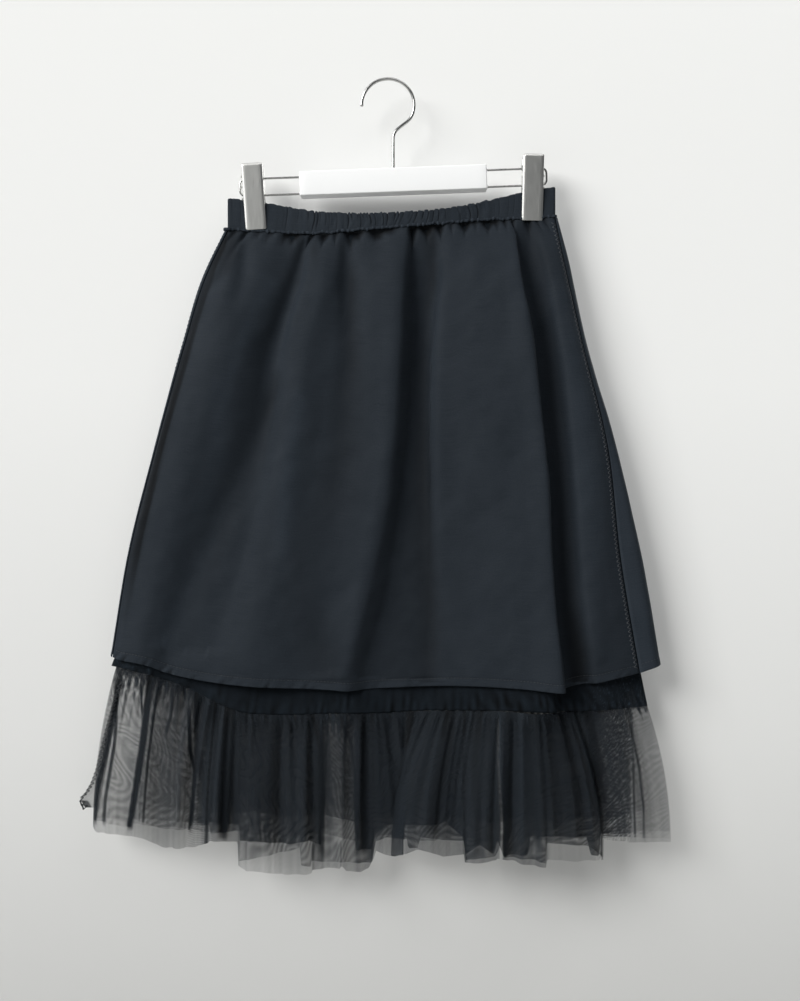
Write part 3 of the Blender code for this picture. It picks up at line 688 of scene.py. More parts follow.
# A crease runs down the panel: x, z, its width on the left and on the right,
# and how far it is pressed in (out where negative) at each point.
CREASES = (
    # left line
    ((-142, -158, 4, 6, 1.2), (-143, -176, 5, 9, 3.4), (-144, -195, 6, 9, 3.4),
     (-147, -215, 8, 8, 2.2), (-152, -240, 10, 10, 0)),
    # left bulge
    ((-158, -186, 6, 7, 0), (-168, -200, 6, 8, 2.2), (-178, -216, 6, 8, 0)),
    # long trough
    ((-82, -160, 4, 6, 1.6), (-86, -182, 6, 6, 4), (-91, -205, 8, 6, 5.6), (-105, -247, 10, 6, 5.6),
     (-110, -268, 12, 8, 5.2), (-120, -321, 14, 12, 4.6), (-136, -370, 16, 16, 3.8),
     (-155, -420, 18, 20, 3), (-180, -478, 20, 20, 2.2), (-202, -520, 18, 20, 1.6),
     (-226, -560, 16, 20, 0.8)),
    # long trough's floor
    ((-110, -290, 8, 8, 0), (-116, -321, 10, 9, 3), (-124, -370, 14, 10, 4.4),
     (-132, -420, 18, 12, 5), (-144, -470, 24, 14, 5), (-160, -520, 30, 16, 4.4),
     (-178, -570, 30, 18, 2.6)),
    # trough's bright edge
    ((-84, -200, 5, 10, 0), (-93, -240, 5, 12, -0.6), (-95, -290, 10, 16, -0.8),
     (-96, -345, 14, 18, -1), (-100, -400, 18, 20, -1.2), (-109, -470, 20, 20, -1.2),
     (-124, -530, 18, 20, -1), (-140, -590, 16, 20, -0.6)),
    # soft trough
    ((-42, -160, 5, 8, 1.4), (-41, -200, 8, 9, 4.2), (-38, -242, 9, 12, 4.6),
     (-42, -321, 12, 18, 3.8), (-48, -420, 16, 22, 2.8), (-56, -520, 16, 22, 2.4),
     (-66, -590, 16, 22, 1.6)),
    # deep trough
    ((27, -160, 4, 10, 1.6), (30, -190, 5, 13, 2.6), (32, -242, 6, 10, 3.2), (28, -321, 8, 11, 3.6),
     (18, -420, 9, 14, 3.8), (1, -518, 9, 22, 3.2), (-12, -558, 9, 24, 2.4),
     (-25, -596, 9, 22, 1.4)),
    # ridge by the deep trough
    ((14, -175, 14, 5, 0), (12, -240, 16, 6, -1.4), (8, -321, 16, 7, -1.8), (-1, -420, 16, 7, -1.8),
     (-22, -518, 16, 7, -1.6), (-46, -596, 14, 7, -1.2)),
    # deep trough's far side
    ((44, -165, 12, 8, 0.6), (42, -203, 14, 8, 3.6), (40, -242, 12, 8, 4.8), (40, -321, 12, 7, 4.8),
     (40, -420, 22, 7, 5), (40, -480, 30, 8, 5), (40, -520, 38, 10, 4.8), (38, -560, 40, 12, 4.4),
     (36, -598, 40, 14, 3.8)),
    # recess by the knife edge
    ((139, -160, 6, 6, 0.2), (141, -185, 8, 6, 2), (147, -212, 10, 6, 3.4), (153, -250, 9, 6, 2.6),
     (159, -290, 8, 6, 0)),
    # right panel's swell
    ((176, -220, 9, 12, 0), (190, -300, 10, 14, -1.2), (200, -400, 12, 16, -2),
     (208, -500, 14, 18, -1.6), (214, -580, 14, 20, -0.8)),
)
# Painted shade in the folds, darkening the cloth's colour: x, z, reach left and right, and
# how much; where the amount is below 0 it paints light instead.
PAINTED_SHADES = (
    # deep trough
    ((42, -160, 12, 9, 0.22), (38, -203, 12, 9, 0.1), (36, -242, 10, 8, 0.05),
     (33, -321, 9, 8, 0.05), (31, -370, 9, 7, 0.14), (26, -420, 13, 12, 0.2),
     (20, -470, 18, 16, 0.25), (14, -518, 22, 26, 0.26), (8, -567, 26, 34, 0.22),
     (4, -600, 26, 36, 0.18)),
    # recess
    ((140, -160, 10, 14, 0.26), (150, -180, 10, 14, 0.26), (156, -203, 6, 8, 0.12),
     (152, -242, 12, 6, 0), (160, -321, 9, 9, 0.1), (168, -420, 7, 9, 0.22),
     (178, -518, 10, 9, 0.46), (187, -567, 12, 12, 0.72), (190, -600, 12, 12, 0.72)),
    # behind the ridge
    ((-84, -300, 10, 8, 0), (-86, -321, 9, 8, -0.35), (-94, -370, 10, 10, -0.4),
     (-100, -420, 10, 9, -0.4), (-104, -470, 10, 8, -0.22), (-106, -500, 10, 8, 0)),
    # beside the trough's top
    ((-73, -158, 5, 5, 0.1), (-73, -173, 5, 5, 0.25), (-72, -195, 5, 5, 0)),
    # right panel
    ((172, -190, 10, 16, -0.15), (184, -242, 12, 18, -0.35), (194, -321, 14, 22, -0.35),
     (204, -420, 16, 24, -0.35), (212, -500, 16, 26, -0.12), (218, -590, 16, 26, 0.05)),
    # beside the left line
    ((-156, -160, 16, 8, 0.36), (-157, -176, 16, 9, 0.4), (-160, -190, 12, 8, 0.25),
     (-168, -210, 10, 8, 0)),
    # long trough
    ((-88, -165, 5, 5, 0.35), (-97, -203, 7, 6, 0.25), (-112, -242, 8, 6, 0.1),
     (-120, -280, 8, 8, 0)),
    # left strip
    ((-161, -157, 12, 1.5, 0.5), (-163, -168, 12, 1.5, 0.5), (-170, -184, 12, 1.5, 0.6),
     (-176, -203, 12, 1.5, 0.6), (-188, -242, 12, 2, 0.75), (-199, -282, 12, 2, 0.8),
     (-210, -321, 12, 2, 0.85), (-222, -370, 12, 2, 0.85), (-234, -420, 12, 2, 0.85),
     (-246, -470, 12, 2, 0.75), (-256, -518, 12, 2, 0.3), (-264, -560, 12, 2, 0)),
    # soft trough
    ((-48, -160, 5, 6, 0.1), (-38, -190, 6, 7, 0.3), (-37, -203, 5, 7, 0.45),
     (-38, -242, 6, 8, 0.34), (-38, -282, 8, 12, 0.34), (-42, -321, 16, 16, 0.28),
     (-46, -370, 14, 20, 0.28), (-60, -420, 22, 26, 0.24), (-84, -470, 16, 30, 0.14),
     (-84, -518, 16, 18, 0.14), (-68, -567, 22, 22, 0.24), (-60, -600, 20, 24, 0.2)),
    # left of the box fold
    ((45, -173, 8, 4, 0.25), (45, -203, 8, 4, 0.4), (37, -242, 6, 5, 0.12), (34, -282, 6, 5, 0.28),
     (34, -321, 6, 5, 0.3), (36, -370, 9, 7, 0.42), (37, -420, 10, 7, 0.45),
     (40, -470, 14, 8, 0.42), (42, -518, 12, 9, 0.4), (42, -567, 14, 9, 0.34),
     (41, -600, 12, 9, 0.3)),
    # long trough's far side
    ((-118, -282, 6, 8, 0), (-112, -300, 6, 8, 0.25), (-119, -321, 8, 8, 0.4),
     (-134, -370, 12, 16, 0.2), (-154, -420, 12, 14, 0.2), (-168, -470, 12, 14, 0.15),
     (-190, -518, 12, 12, 0.1), (-200, -567, 10, 10, 0)),
    # long trough's near side
    ((-128, -190, 8, 8, 0), (-116, -203, 8, 8, -0.3), (-133, -242, 8, 8, -0.35),
     (-148, -282, 10, 9, -0.35), (-162, -321, 12, 9, -0.3), (-166, -370, 9, 8, -0.28),
     (-180, -420, 9, 8, -0.28), (-202, -470, 9, 8, -0.1), (-214, -518, 9, 8, -0.25),
     (-225, -567, 9, 8, -0.3)),
)


def notch_shape(gather, x, down, width):
    """1 in the notch that a gather makes at the seam, narrowing to nothing below it."""
    length = NOTCH_LENGTH + NOTCH_FOLLOWS * gather.length
    taper = np.clip(1.1 - 0.8 * down / length, 0.25, 1.0)
    side = (x - gather.x - gather.drift * down) / (width * gather.width * taper)
    return np.exp(-side ** 2 - (down / length) ** 2.5)


def gather_depth(gathers, x, down):
    """How far the gathers press the cloth in, at x along the seam and mm below it."""
    start = 1 - np.exp(-down / SEAM_EASE)
    total = -LOBE * start * np.exp(-(down / LOBE_LENGTH) ** 2)
    for gather in gathers:
        notch = 1.5 * notch_shape(gather, x, down, 0.8)
        widened = gather.width * (0.7 + down / 60.0)
        crease = np.exp(-((x - gather.x - gather.drift * down) / widened) ** 2
                        - (down / gather.length) ** 1.5)
        total += start * (gather.notch * notch + gather.depth * crease)
    return total


def notch_painted_shade(gathers, x, down):
    """Painted shade in the notches under the waistband: how much darker the cloth's colour is made
    there.
    """
    return np.minimum(sum(NOTCH_PAINTED_SHADE * gather.notch * notch_shape(gather, x, down, 0.9)
                          for gather in gathers), 0.8)


def crease_depth(creases, x, z):
    """How far the long creases press the cloth in at x, z."""
    total = np.zeros_like(x)
    for points in creases:
        middle, height, left, right, depth = np.array(points[::-1], float).T
        side = x - np.interp(z, height, middle)
        width = np.where(side < 0, np.interp(z, height, left), np.interp(z, height, right))
        total += np.interp(z, height, depth, left=0.0) * np.exp(-(side / width) ** 2)
    return total


def hem_relief(u, v, strength):
    """Twisted wrinkles between the stitch line and the hem, and the stitched groove."""
    above = v[-1] - v
    rope = ripples(31, ROPE_PITCH * 0.8, ROPE_PITCH * 1.5, lean=0.6, spread=0.22, count=18)
    groove = np.exp(-((above - HEM_STITCH) / 1.3) ** 2)
    uneven = 0.6 + 0.4 * ripples(33, 20, 60, spread=0.1)(u)
    return (ramp(-above, -HEM_STITCH - 1.5, 7.0) * strength * uneven * rope(u, v)
            + 0.10 * ramp(-above, -HEM_STITCH, 1.5) - 0.14 * groove)


def own_waves(u, v, seed, leans, size):
    """Broad and fine waves that a hanging panel has of itself."""
    broad = ripples(seed, 45, 160, lean=leans[0], spread=0.35)
    fine = ripples(seed + 8, 14, 40, lean=leans[1], spread=0.7)
    return ramp(v, 0, SETTLE) * (size * broad(u, v) + 0.12 * fine(u, v))


def skirt_front():
    grid = panel_grid(SKIRT_FRONT, OUTER_SEAT, 463, 1.9, 4.0, 1.2, 34, 13)
    u, v = spans(grid)
    x, z = grid[:, :, 0], grid[:, :, 2]
    top_x = np.broadcast_to(x[0], u.shape)
    hem = hem_relief(u, v, 0.14 + 0.30 * ramp(-x, 60, 120.0) + 0.05 * ramp(x, 60, 60.0))
    relief = (-gather_depth(GATHERS, top_x, v) - crease_depth(CREASES, x, z)
              + own_waves(u, v, 3, (0.25, 0.5), 0.5) + hem)
    # Painted shade in the creases and the notches; on the hem's twisted wrinkles painted shade
    # where they are pressed in and painted light where they stand out.
    painted_shade = crease_depth(PAINTED_SHADES, x, z) + notch_painted_shade(GATHERS, top_x, v)
    painted_shade += 1.1 * np.maximum(-hem, 0) - 0.25 * np.maximum(hem, 0)
    grid = raised(grid, relief * edge_fade(grid))
    return panel_piece("skirt_front_cloth", grid, OUTER_CLOTH, "skirt_front", 1 - painted_shade), grid


def seeded_gathers(seed, low, high, notch, depth, length):
    """Uneven gathers along a seam where nothing shows their exact places."""
    rng = np.random.default_rng(seed)
    x, found = low, []
    while x < high:
        found.append(Gather(x, rng.uniform(3.5, 6), rng.uniform(0.4, 1) * notch,
                            rng.uniform(0.4, 1) * depth, rng.uniform(0.5, 1.2) * length,
                            x / 1500.0))
        x += rng.uniform(8, 17)
    return found


def skirt_back():
    grid = panel_grid(SKIRT_BACK, OUTER_SEAT, 457, 3.0, 5.0, 1.6, 30, 13)
    u, v = spans(grid)
    top_x = np.broadcast_to(grid[0, :, 0], u.shape)
    behind = ramp(grid[:, :, 1], 0, 3.0)
    gathers = seeded_gathers(17, -150, 152, 2.6, 1.8, 34)
    waves = own_waves(u, v, 5, (-0.2, -0.5), 0.9)
    relief = (-gather_depth(gathers, top_x, v) * behind + waves * (0.3 + 0.7 * behind)
              + hem_relief(u, v, 0.3))
    grid = raised(grid, relief * edge_fade(grid))
    # Painted light on the strips that wrap round to the front, and painted shade in the notches.
    tone = 1.0 + 0.35 * (1 - behind) - notch_painted_shade(gathers, top_x, v) * behind
    return panel_piece("skirt_back_cloth", grid, OUTER_CLOTH, "skirt_back", tone), grid


# ---- underskirt ----
TUCK = 0.35                 # share of its depth the underskirt keeps right under the band
TUCK_LENGTH = 26.0
NESTING = 0.95              # how closely the underskirt follows the outer skirt's creases
PULL = 24.0                 # above its hem, how far the ruffle's gathers crumple it


def underskirt(folds, seed, node):
    grid = panel_grid(folds, INNER_SEAT, 485, 4.0, 6.0, 2.5, 10, 12)
    u, v = spans(grid)
    relief = 0.5 * ramp(v, 0, SETTLE) * ripples(seed, 40, 120, spread=0.3)(u, v)
    if folds is UNDERSKIRT_FRONT:
        pressed = np.maximum(crease_depth(CREASES, grid[:, :, 0], grid[:, :, 2]), 0)
        relief -= NESTING * pressed + 0.7 * np.clip(pressed, 0, 1)
    above = v[-1] - v
    pulled = np.exp(-(above / PULL) ** 2)
    relief += 0.5 * pulled * ripples(seed + 1, 3.5, 11, spread=0.12)(u, v)
    grid = raised(grid, relief * edge_fade(grid))
    grid[:, :, 2] += left_rise(grid[:, :, 0]) * np.clip(1 - above / 60, 0, 1)
    grid[:, :, 1] *= 1 - (1 - TUCK) * np.exp(-(v / TUCK_LENGTH) ** 2)
    tone = 1 + 0.35 * pulled * ripples(seed + 2, 2.5, 9, spread=0.10)(u, v)
    item = panel_piece(node + "_cloth", grid, LINING, node, tone)
    x = grid[:, :, 0]
    # Light specks of painted glint on the crumpled ends.
    ends = ramp(x, 196, 12.0) + 0.9 * ramp(x, 224, 8.0) + ramp(-x, 228, 8.0)
    add_values(item, gathered=0.55 * ends * ramp(-above, -40, 8.0))
    return item


# ---- ruffle ----
# Hems of the front layers: apparent x and z. The strips are cut straight and lie at
# different heights, so a hem steps from one to the next.
HEM_LONG = (
    (-295, -746), (-290, -752), (-263, -755), (-248, -757), (-236, -762), (-223, -767),
    (-210, -768), (-198, -767), (-181.4, -763), (-180.6, -761), (-150.4, -761), (-149.6, -785),
    (-144, -790), (-126, -792), (-103, -794), (-83, -794), (-75.4, -793), (-74.6, -790),
    (-63, -787), (-47.4, -788), (-46.6, -785), (-41, -791), (-26, -791), (-19, -788), (-14, -777),
    (-12, -770), (-3, -774), (7, -776), (19, -773), (30, -769), (42, -772), (55, -776),
    (75.6, -774), (76.4, -782), (92, -783), (108.6, -780), (109.4, -778), (127, -781), (142, -785),
    (158.2, -787), (159, -779), (187, -781), (215.6, -779), (216.4, -759), (247, -762), (283, -761),
)
HEM_MIDDLE = (
    (-295, -739), (-283, -743), (-258.4, -747), (-257.6, -738), (-238, -745), (-223, -749),
    (-197.4, -750), (-196.6, -745), (-181.4, -745), (-180.6, -754), (-150.4, -750), (-149.6, -781),
    (-126, -777), (-89, -768), (-88, -785), (-75.4, -787), (-74.6, -781), (-48, -782), (-16, -783),
    (-12, -761), (-1, -757), (19, -759), (20, -768), (30, -768), (31, -757), (57, -760),
    (75.6, -761), (76.4, -780), (108, -777), (113, -764), (116, -777), (139, -779), (158.2, -783),
    (159, -763), (202, -766), (215.6, -777), (216.4, -756), (262, -758), (283, -758),
)
HEM_SHORT = (
    (-238, -739), (-198, -743), (-181, -743), (-150.4, -745), (-149.6, -761), (-98, -764),
    (-76, -761), (-66, -765), (-65, -725), (-33, -729), (-32, -770), (-16, -770), (-12, -755),
    (-1, -745), (47, -746), (58, -742), (74, -758), (76, -775), (90, -765), (108, -775),
    (110, -760), (116, -776), (139, -775), (141, -757), (202, -757), (204, -775), (212, -776),
    (215, -754), (246, -754),
)
# Where a layer of the ruffle lies double or gapes: a line down the ruffle in apparent
# x and z, how wide it is, how many layers it adds, and the painted light and shade it puts
# on the net's colour: darker below 0, lighter above.
BANDS = (
    (((-270, -604), (-275, -640), (-284, -680), (-291, -710), (-294, -741)), 4.6, 8, -0.4),
    (((-271, -620), (-273, -660), (-278, -690), (-283, -720), (-284, -741)), 2.6, 7, -0.4),
    (((-247, -600), (-246, -632)), 1.6, 7, -0.2),
    (((-238, -600), (-245, -660), (-251, -700), (-258, -746)), 4.8, 14, -0.5),
    (((-230, -604), (-240, -680), (-245, -740)), 1.8, 4, -0.1),
    (((-214, -600), (-217, -635), (-222, -652)), 2.2, 5, -0.3),
    (((-199, -630), (-198, -670), (-193, -690), (-195, -720), (-198, -748)), 2.6, 10, -0.5),
    (((-191, -604), (-191, -690)), 4.5, 5, -0.35),
    (((-171, -604), (-176, -660), (-180, -710), (-182, -765)), 3, 12, -0.6),
    (((-158, -604), (-162, -680), (-165, -755)), 8.5, 10, -0.5),
    (((-142, -617), (-141, -640)), 1.5, 2, -0.3),
    (((-122, -630), (-118, -680), (-120, -720)), 3, 1, -0.25),
    (((-103, -630), (-96, -650), (-95, -750)), 2.2, 2, -0.25),
    (((-76, -634), (-68, -665), (-66, -720), (-67, -770)), 5, 4, -0.45),
    (((-62, -665), (-63, -710), (-65, -740)), 1.6, 3, -0.1),
    (((-49, -636), (-36, -665), (-33, -695), (-32, -750)), 1.8, 3, -0.2),
    (((-56, -634), (-52, -680), (-50, -760)), 9, -1.5, 0.25),
    (((-28, -632), (-22, -680), (-22, -770)), 7, 3, -0.3),
    (((-16, -630), (-15, -720), (-16, -780)), 2, 5, -0.4),
    (((-2, -664), (5, -680), (11, -697)), 1.4, 3, -0.5),
    (((24, -620), (20, -650), (16, -665)), 7, 3, -0.5),
    (((27, -622), (17, -675), (-1, -745)), 2, 2, -0.35),
    (((62, -620), (59, -665), (50, -710), (44, -750)), 11, 2, -0.4),
    (((77, -620), (75, -680), (77, -782)), 3, 4, -0.4),
    (((92, -620), (87, -680), (90, -770)), 8, 1.5, -0.3),
    (((111, -634), (110, -680), (114, -746), (113, -779)), 3.2, -5, 0.7),
    (((120, -620), (119, -710), (117, -778)), 4, 2, -0.2),
    (((133, -626), (133, -700), (134, -760)), 6, 1, 0.15),
    (((146, -626), (147, -680), (149, -760)), 6, 1.5, -0.25),
    (((174, -632), (178, -680)), 5, 1, -0.2), (((158.5, -757), (158.5, -786)), 1, 4, 0),
    (((-149.5, -761), (-149.5, -785)), 1, 3, 0), (((-75, -765), (-75, -793)), 1.4, 3, 0),
    (((-47, -765), (-47, -788)), 1, 3, 0),
    (((187, -632), (202, -680), (213, -730), (215, -778)), 3, 4, -0.3),
    (((196, -620), (209, -680), (214, -720)), 9, 3, -0.45),
    (((243, -648), (251, -686), (255.6, -728), (256, -758)), 1.5, 3, 0),
    (((243, -630), (245, -680), (247, -754)), 1.6, 3, 0),
)
# Layers that show at each apparent x, shared between the five nets.
LAYERS_LONG = (
    (-310, 1.1), (-240, 1), (-236, 1.2), (-192, 1), (-186, 1.6), (-150, 1.6), (-149, 0.8),
    (-76, 0.8), (-74, 1.6), (-66, 1.6), (-63, 1.2), (-34, 1.2), (-31, 1.6), (156, 1.6), (162, 0.6),
    (212, 0.6), (240, 1), (245, 0.7), (290, 0.65),
)
LAYERS_MIDDLE = (
    (-310, 0.6), (-240, 0.7), (-236, 0.9), (-192, 0.8), (-186, 1.6), (-150, 1.6), (-149, 1.1),
    (-76, 1.1), (-74, 1.6), (-66, 1.6), (-63, 0.9), (-34, 0.9), (-31, 2), (212, 2), (240, 1.7),
    (245, 0.3), (290, 0.3),
)
LAYERS_SHORT = (
    (-239, 0.6), (-192, 0.9), (-186, 2.8), (-150, 2.8), (-149, 3.3), (-100, 3.3), (-92, 3.8),
    (-76, 3.8), (-74, 2.8), (-66, 2.8), (-63, 0.7), (-34, 0.7), (-31, 3.4), (212, 3.2), (216, 3),
    (241, 2.8), (244, 0.4),
)
LAYERS_BACK = ((-310, 0.5), (-240, 0.5), (-200, 0.9), (205, 0.9), (245, 0.5), (300, 0.4))
LAYERS_INNER = ((-310, 0.4), (-190, 0.5), (-180, 1.9), (205, 1.9), (240, 0.6), (300, 0.4))
SHORT_ENDS = (-232, 236)    # the short strips don't reach the ruffle's ends
GATHER_REACH = 11.0         # how far below its seam the ruffle is bunched
GATHER_LAYERS = 9.0
CRIMP_PITCH = 1.25          # stretches the length along the seam from which crimps are laid


def band_effect(x, z):
    """Layers added, and the painted light and shade on the net's colour, at apparent x, z."""
    layers, tone = np.zeros_like(x), np.zeros_like(x)
    for path, width, added, painted_light_and_shade in BANDS:
        places, heights = np.array(path[::-1], float).T
        near = np.exp(-((x - np.interp(z, heights, places)) / (0.58 * width)) ** 4)
        near *= ramp(-z, -heights[-1] - 5, 5.0) * ramp(z, heights[0] - 5, 5.0)
        layers += added * near
        tone += painted_light_and_shade * near
    return layers, tone


def ruffle_layer(name, layers, inward, hem=None, shorter=0.0, ends=(-400, 400), share=0.4,
                 replaced=(), waves=1.0):
    """One net. layers lists apparent x and how many nets it stands for; share is its part
    of the bands and the gathers; a net without its own hem is one of the back."""
    front = hem is not None
    if front:
        grid = net_grid(RUFFLE_FRONT, UNDERSKIRT_FRONT, hem, shorter)
    else:
        grid = net_grid(RUFFLE_BACK, UNDERSKIRT_BACK, hem, shorter)
    # Measured before the ends are cut off, so that the nets crimp in step.
    seam = CRIMP_PITCH * run_along(grid[0, :, :2])
    keep = (grid[0, :, 0] > ends[0]) & (grid[0, :, 0] < ends[1])
    grid, seam = grid[:, keep], seam[keep]
    v = run_along(grid)
    along = np.broadcast_to(run_along(grid[-1, :, :2]), v.shape)
    crimp = ripples(53 if front else 59, 7, 26, spread=0.0)(seam)
    grid = raised(grid, ramp(v, 0, 12.0) * crimp + inward)
    x, z = apparent(grid[:, :, 0], grid[:, :, 1], grid[:, :, 2])
    count = np.interp(x, *np.transpose(layers))
    streak = ripples(71, 1.8, 14, spread=0.03)(along, v * 0.6)
    crinkle = ripples(73, 2.6, 8, lean=0.25, spread=0.5)(x, z * 0.6)
    fingers = ripples(83, 3, 12, spread=0.02)(along)
    reach = (GATHER_REACH * np.clip(0.9 + 0.55 * fingers, 0.3, 2.4)
             * (1 + 0.7 * ramp(-x, 228, 8.0)))
    gather = GATHER_LAYERS * np.exp(-(v / reach) ** 2) * (0.8 + 0.4 * crinkle)
    # Painted shade near the seam, under the outer hem and in the gathers; the streaks are uneven
    # tone.
    tone = 0.97 + 0.06 * streak - 0.30 * np.clip(1 - v / 35, 0, 1)
    rough = np.zeros_like(x)
    if front:
        added, painted_light_and_shade = band_effect(x, z)
        right_end = ramp(x, 236, 8.0) * ramp(z + 2 * crinkle, -629, 2.0)
        rough = ramp(x, 206, 8.0) * ramp(-x, -246, 4.0)
        count = count + share * (added + 7 * right_end + 0.4 * rough * crinkle)
        # The bands' painted light and shade.
        tone = tone + painted_light_and_shade
    count = count * (1 + 0.09 * streak) + share * gather
    item = cloth_piece(name, grid, TULLE, replaced)
    add_values(item, net=net_cover(np.maximum(count, 0.0)), tone=np.clip(tone, 0.25, 2.0),
               crushed=rough, waves=np.full(x.shape, waves))
    return item


# The ruffle's left end is overlocked and hangs as a narrow tab: its outer edge, in
# apparent x and z, and the ruffle's first fold, z and x.
TAB = (
    (-269, -603), (-274, -618), (-281, -643), (-288, -670), (-292, -688), (-297, -702),
    (-303, -712), (-308, -717), (-306, -722), (-303, -727),
)
FIRST_FOLD = ((-741, -660, -603), (-291, -277, -268.5))
TAB_WIDTH = 6.0
TAB_ROWS = 60
TAB_COLUMNS = 6             # over the overlocked edge, and as many again beside it
KNOT_ROW = 5                # from the lower end
LOOP_SIZE = 0.5             # radius of the overlock's thread, and of its knot's
KNOT_SIZE = 0.8


def ruffle_tab():
    """Overlocked edge with the bit of net between it and the ruffle's first fold."""
    length = run_along(TAB)
    edge = places_at(np.linspace(0, length[-1], TAB_ROWS), length, TAB)
    rows = []
    for x, z in edge:
        stop = max(np.interp(z, *FIRST_FOLD), x + TAB_WIDTH)
        shown = np.concatenate([np.linspace(x, x + TAB_WIDTH, TAB_COLUMNS),
                                np.linspace(x + TAB_WIDTH, stop, TAB_COLUMNS)[1:]])
        deep = -3.4 - 1.2 * np.sin(shown * 0.35)
        rows.append(np.column_stack([behind_view(shown, VIEW_X, deep), deep,
                                     behind_view(z, VIEW_Z, deep)]))
    grid = np.array(rows)
    item = cloth_piece("net_end_tab", grid, TULLE)
    count = np.full(grid.shape[:2], 1.3)
    count[:, :TAB_COLUMNS] = 1.5
    count[1 - KNOT_ROW:, :TAB_COLUMNS] = 5.0
    add_values(item, net=net_cover(count), tone=np.ones(count.shape), crushed=0 * count,
               waves=0 * count)
    loops = [(x + 0.3, -4.9, z) if i % 2 else (x + TAB_WIDTH - 1.2, -4.9, z + 1.2)
             for i, (x, z) in enumerate(edge)]
    x, z = edge[-KNOT_ROW]
    knot = [(x + k, -5.2, z - 2.2 * k + (1.5 if k % 2 else 0)) for k in range(5)]
    parts = [zigzag(loops, LOOP_SIZE), zigzag(knot, KNOT_SIZE)]
    mesh_piece("net_end_stitches", *join_parts(parts), DARK_THREAD)
    return item


# ---- stitches ----
STITCH = 2.4                # length of a running stitch, and the gap to the next
STITCH_GAP = 0.9
THREAD_SIZE = 0.42          # thickness of the sewing thread
OVERLOCK_SIZE = 0.36        # radius of the overlock thread
OVERLOCK_PITCH = 2.2
OVERLOCK_REACH = (4.6, 0.8)         # of its two sides, from the panel's edge
EDGE_COLUMNS = 9            # of a panel, enough to cover that reach


def hem_stitches(name, grid):
    """Running stitches along the hem."""
    surface = raised(grid, np.full(grid.shape[:2], SHELL / 2 + 0.05))
    down = run_along(grid)
    up = down[-1] - down
    points = np.concatenate([places_at(HEM_STITCH, up[::-1, c], surface[::-1, c])
                             for c in range(grid.shape[1])])
    length = run_along(points)
    ends, full = THREAD_SIZE * 0.25, THREAD_SIZE / 2
    parts = [tube(places_at(start + np.linspace(0, STITCH, 4), length, points),
                  [ends, full, full, ends], 6)
             for start in np.arange(3.0, length[-1] - 4, STITCH + STITCH_GAP)]
    mesh_piece(name, *join_parts(parts), THREAD)


def side_stitches(name, grid, stop, finish):
    """Overlock zigzag down a panel's last edge, from the top to stop mm down."""
    surface = raised(grid, np.full(grid.shape[:2], SHELL / 2 + 0.15))
    grid, surface = grid[:, ::-1], surface[:, ::-1]
    run, aside = run_along(grid[:, 0]), run_across(grid[:, :EDGE_COLUMNS])
    points = []
    for i, at in enumerate(np.arange(6, min(stop, run[-1] - 3), OVERLOCK_PITCH)):
        row = int(np.searchsorted(run, at)) - 1
        t = (at - run[row]) / (run[row + 1] - run[row])
        upper, lower = (places_at(OVERLOCK_REACH[i % 2], aside[r], surface[r, :EDGE_COLUMNS])[0]
                        for r in (row, row + 1))
        points.append(upper * (1 - t) + lower * t)
    mesh_piece(name, *zigzag(points, OVERLOCK_SIZE), finish)


# ---- waistband ----
RIDGE_PROUD = 0.8           # how far the seam's ridge stands off the band
BAND_COLUMNS = 760          # along each side of the band
RIDGE_COLUMNS = 420
TURN_POINTS = 7             # round each end
# Where the band's front is creased by its elastic.
PUCKERS = (
    -157, -150, -148, -135, -130, -119, -110, -104, -101, -92, -83, -76, -72, -69, -62, -58, -55,
    -50, -44, -40, -37, -31, -29, -26, -22, -19, -14, -8, -5, -1, 6, 9, 13, 19, 22, 26, 33, 39, 45,
    51, 58, 64, 70, 76, 80, 84, 88, 92, 96, 100, 105, 110, 115, 120, 126,
)


def band_path(count):
    """Middle of the band's wall round the waist, its outward way and its length so far."""
    left, right = WAIST_X[0], WAIST_X[-1]
    half = MOUTH_AT_CLIPS + CASING / 2
    front = [(x, -(mouth(x) + CASING / 2)) for x in np.linspace(left + half, right - half, count)]
    turn = [pi * k / (TURN_POINTS + 1) for k in range(1, TURN_POINTS + 1)]
    right_end = [(right - half + half * sin(a), -half * cos(a)) for a in turn]
    left_end = [(left + half - half * sin(a), half * cos(a)) for a in turn]
    path = np.array(front + right_end + [(x, -y) for x, y in reversed(front)] + left_end)
    along = np.roll(path, -1, axis=0) - np.roll(path, 1, axis=0)
    out = np.stack([along[:, 1], -along[:, 0]], axis=1)
    out /= np.linalg.norm(out, axis=1)[:, None]
    return path, out, run_along(path)


def band_piece(name, rows, length, v, tone, replaced=()):
    """Ring of cloth round the waist, from the points of each of its lines."""
    grid = np.array(rows)
    shape = grid.shape[:2]
    item = mesh_piece(name, grid, quads(*shape, True, True, flip=True), OUTER_CLOTH, replaced)
    lay_cloth(item, np.broadcast_to(length, shape), np.broadcast_to(np.array(v)[:, None], shape))
    set_tone(item, tone)
    return item


def pucker_marks(length, x):
    """Lengths along the band of all its creases: placed in front, seeded behind."""
    columns = len(x) // 2
    front = np.interp(PUCKERS, x[:columns - 4], length[:columns - 4])
    rng = np.random.default_rng(29)
    behind = length[columns + 12] + 14 + np.cumsum(rng.uniform(4.2, 8.6, 42))
    return np.concatenate([front, behind[behind < length[-1] - 24]])


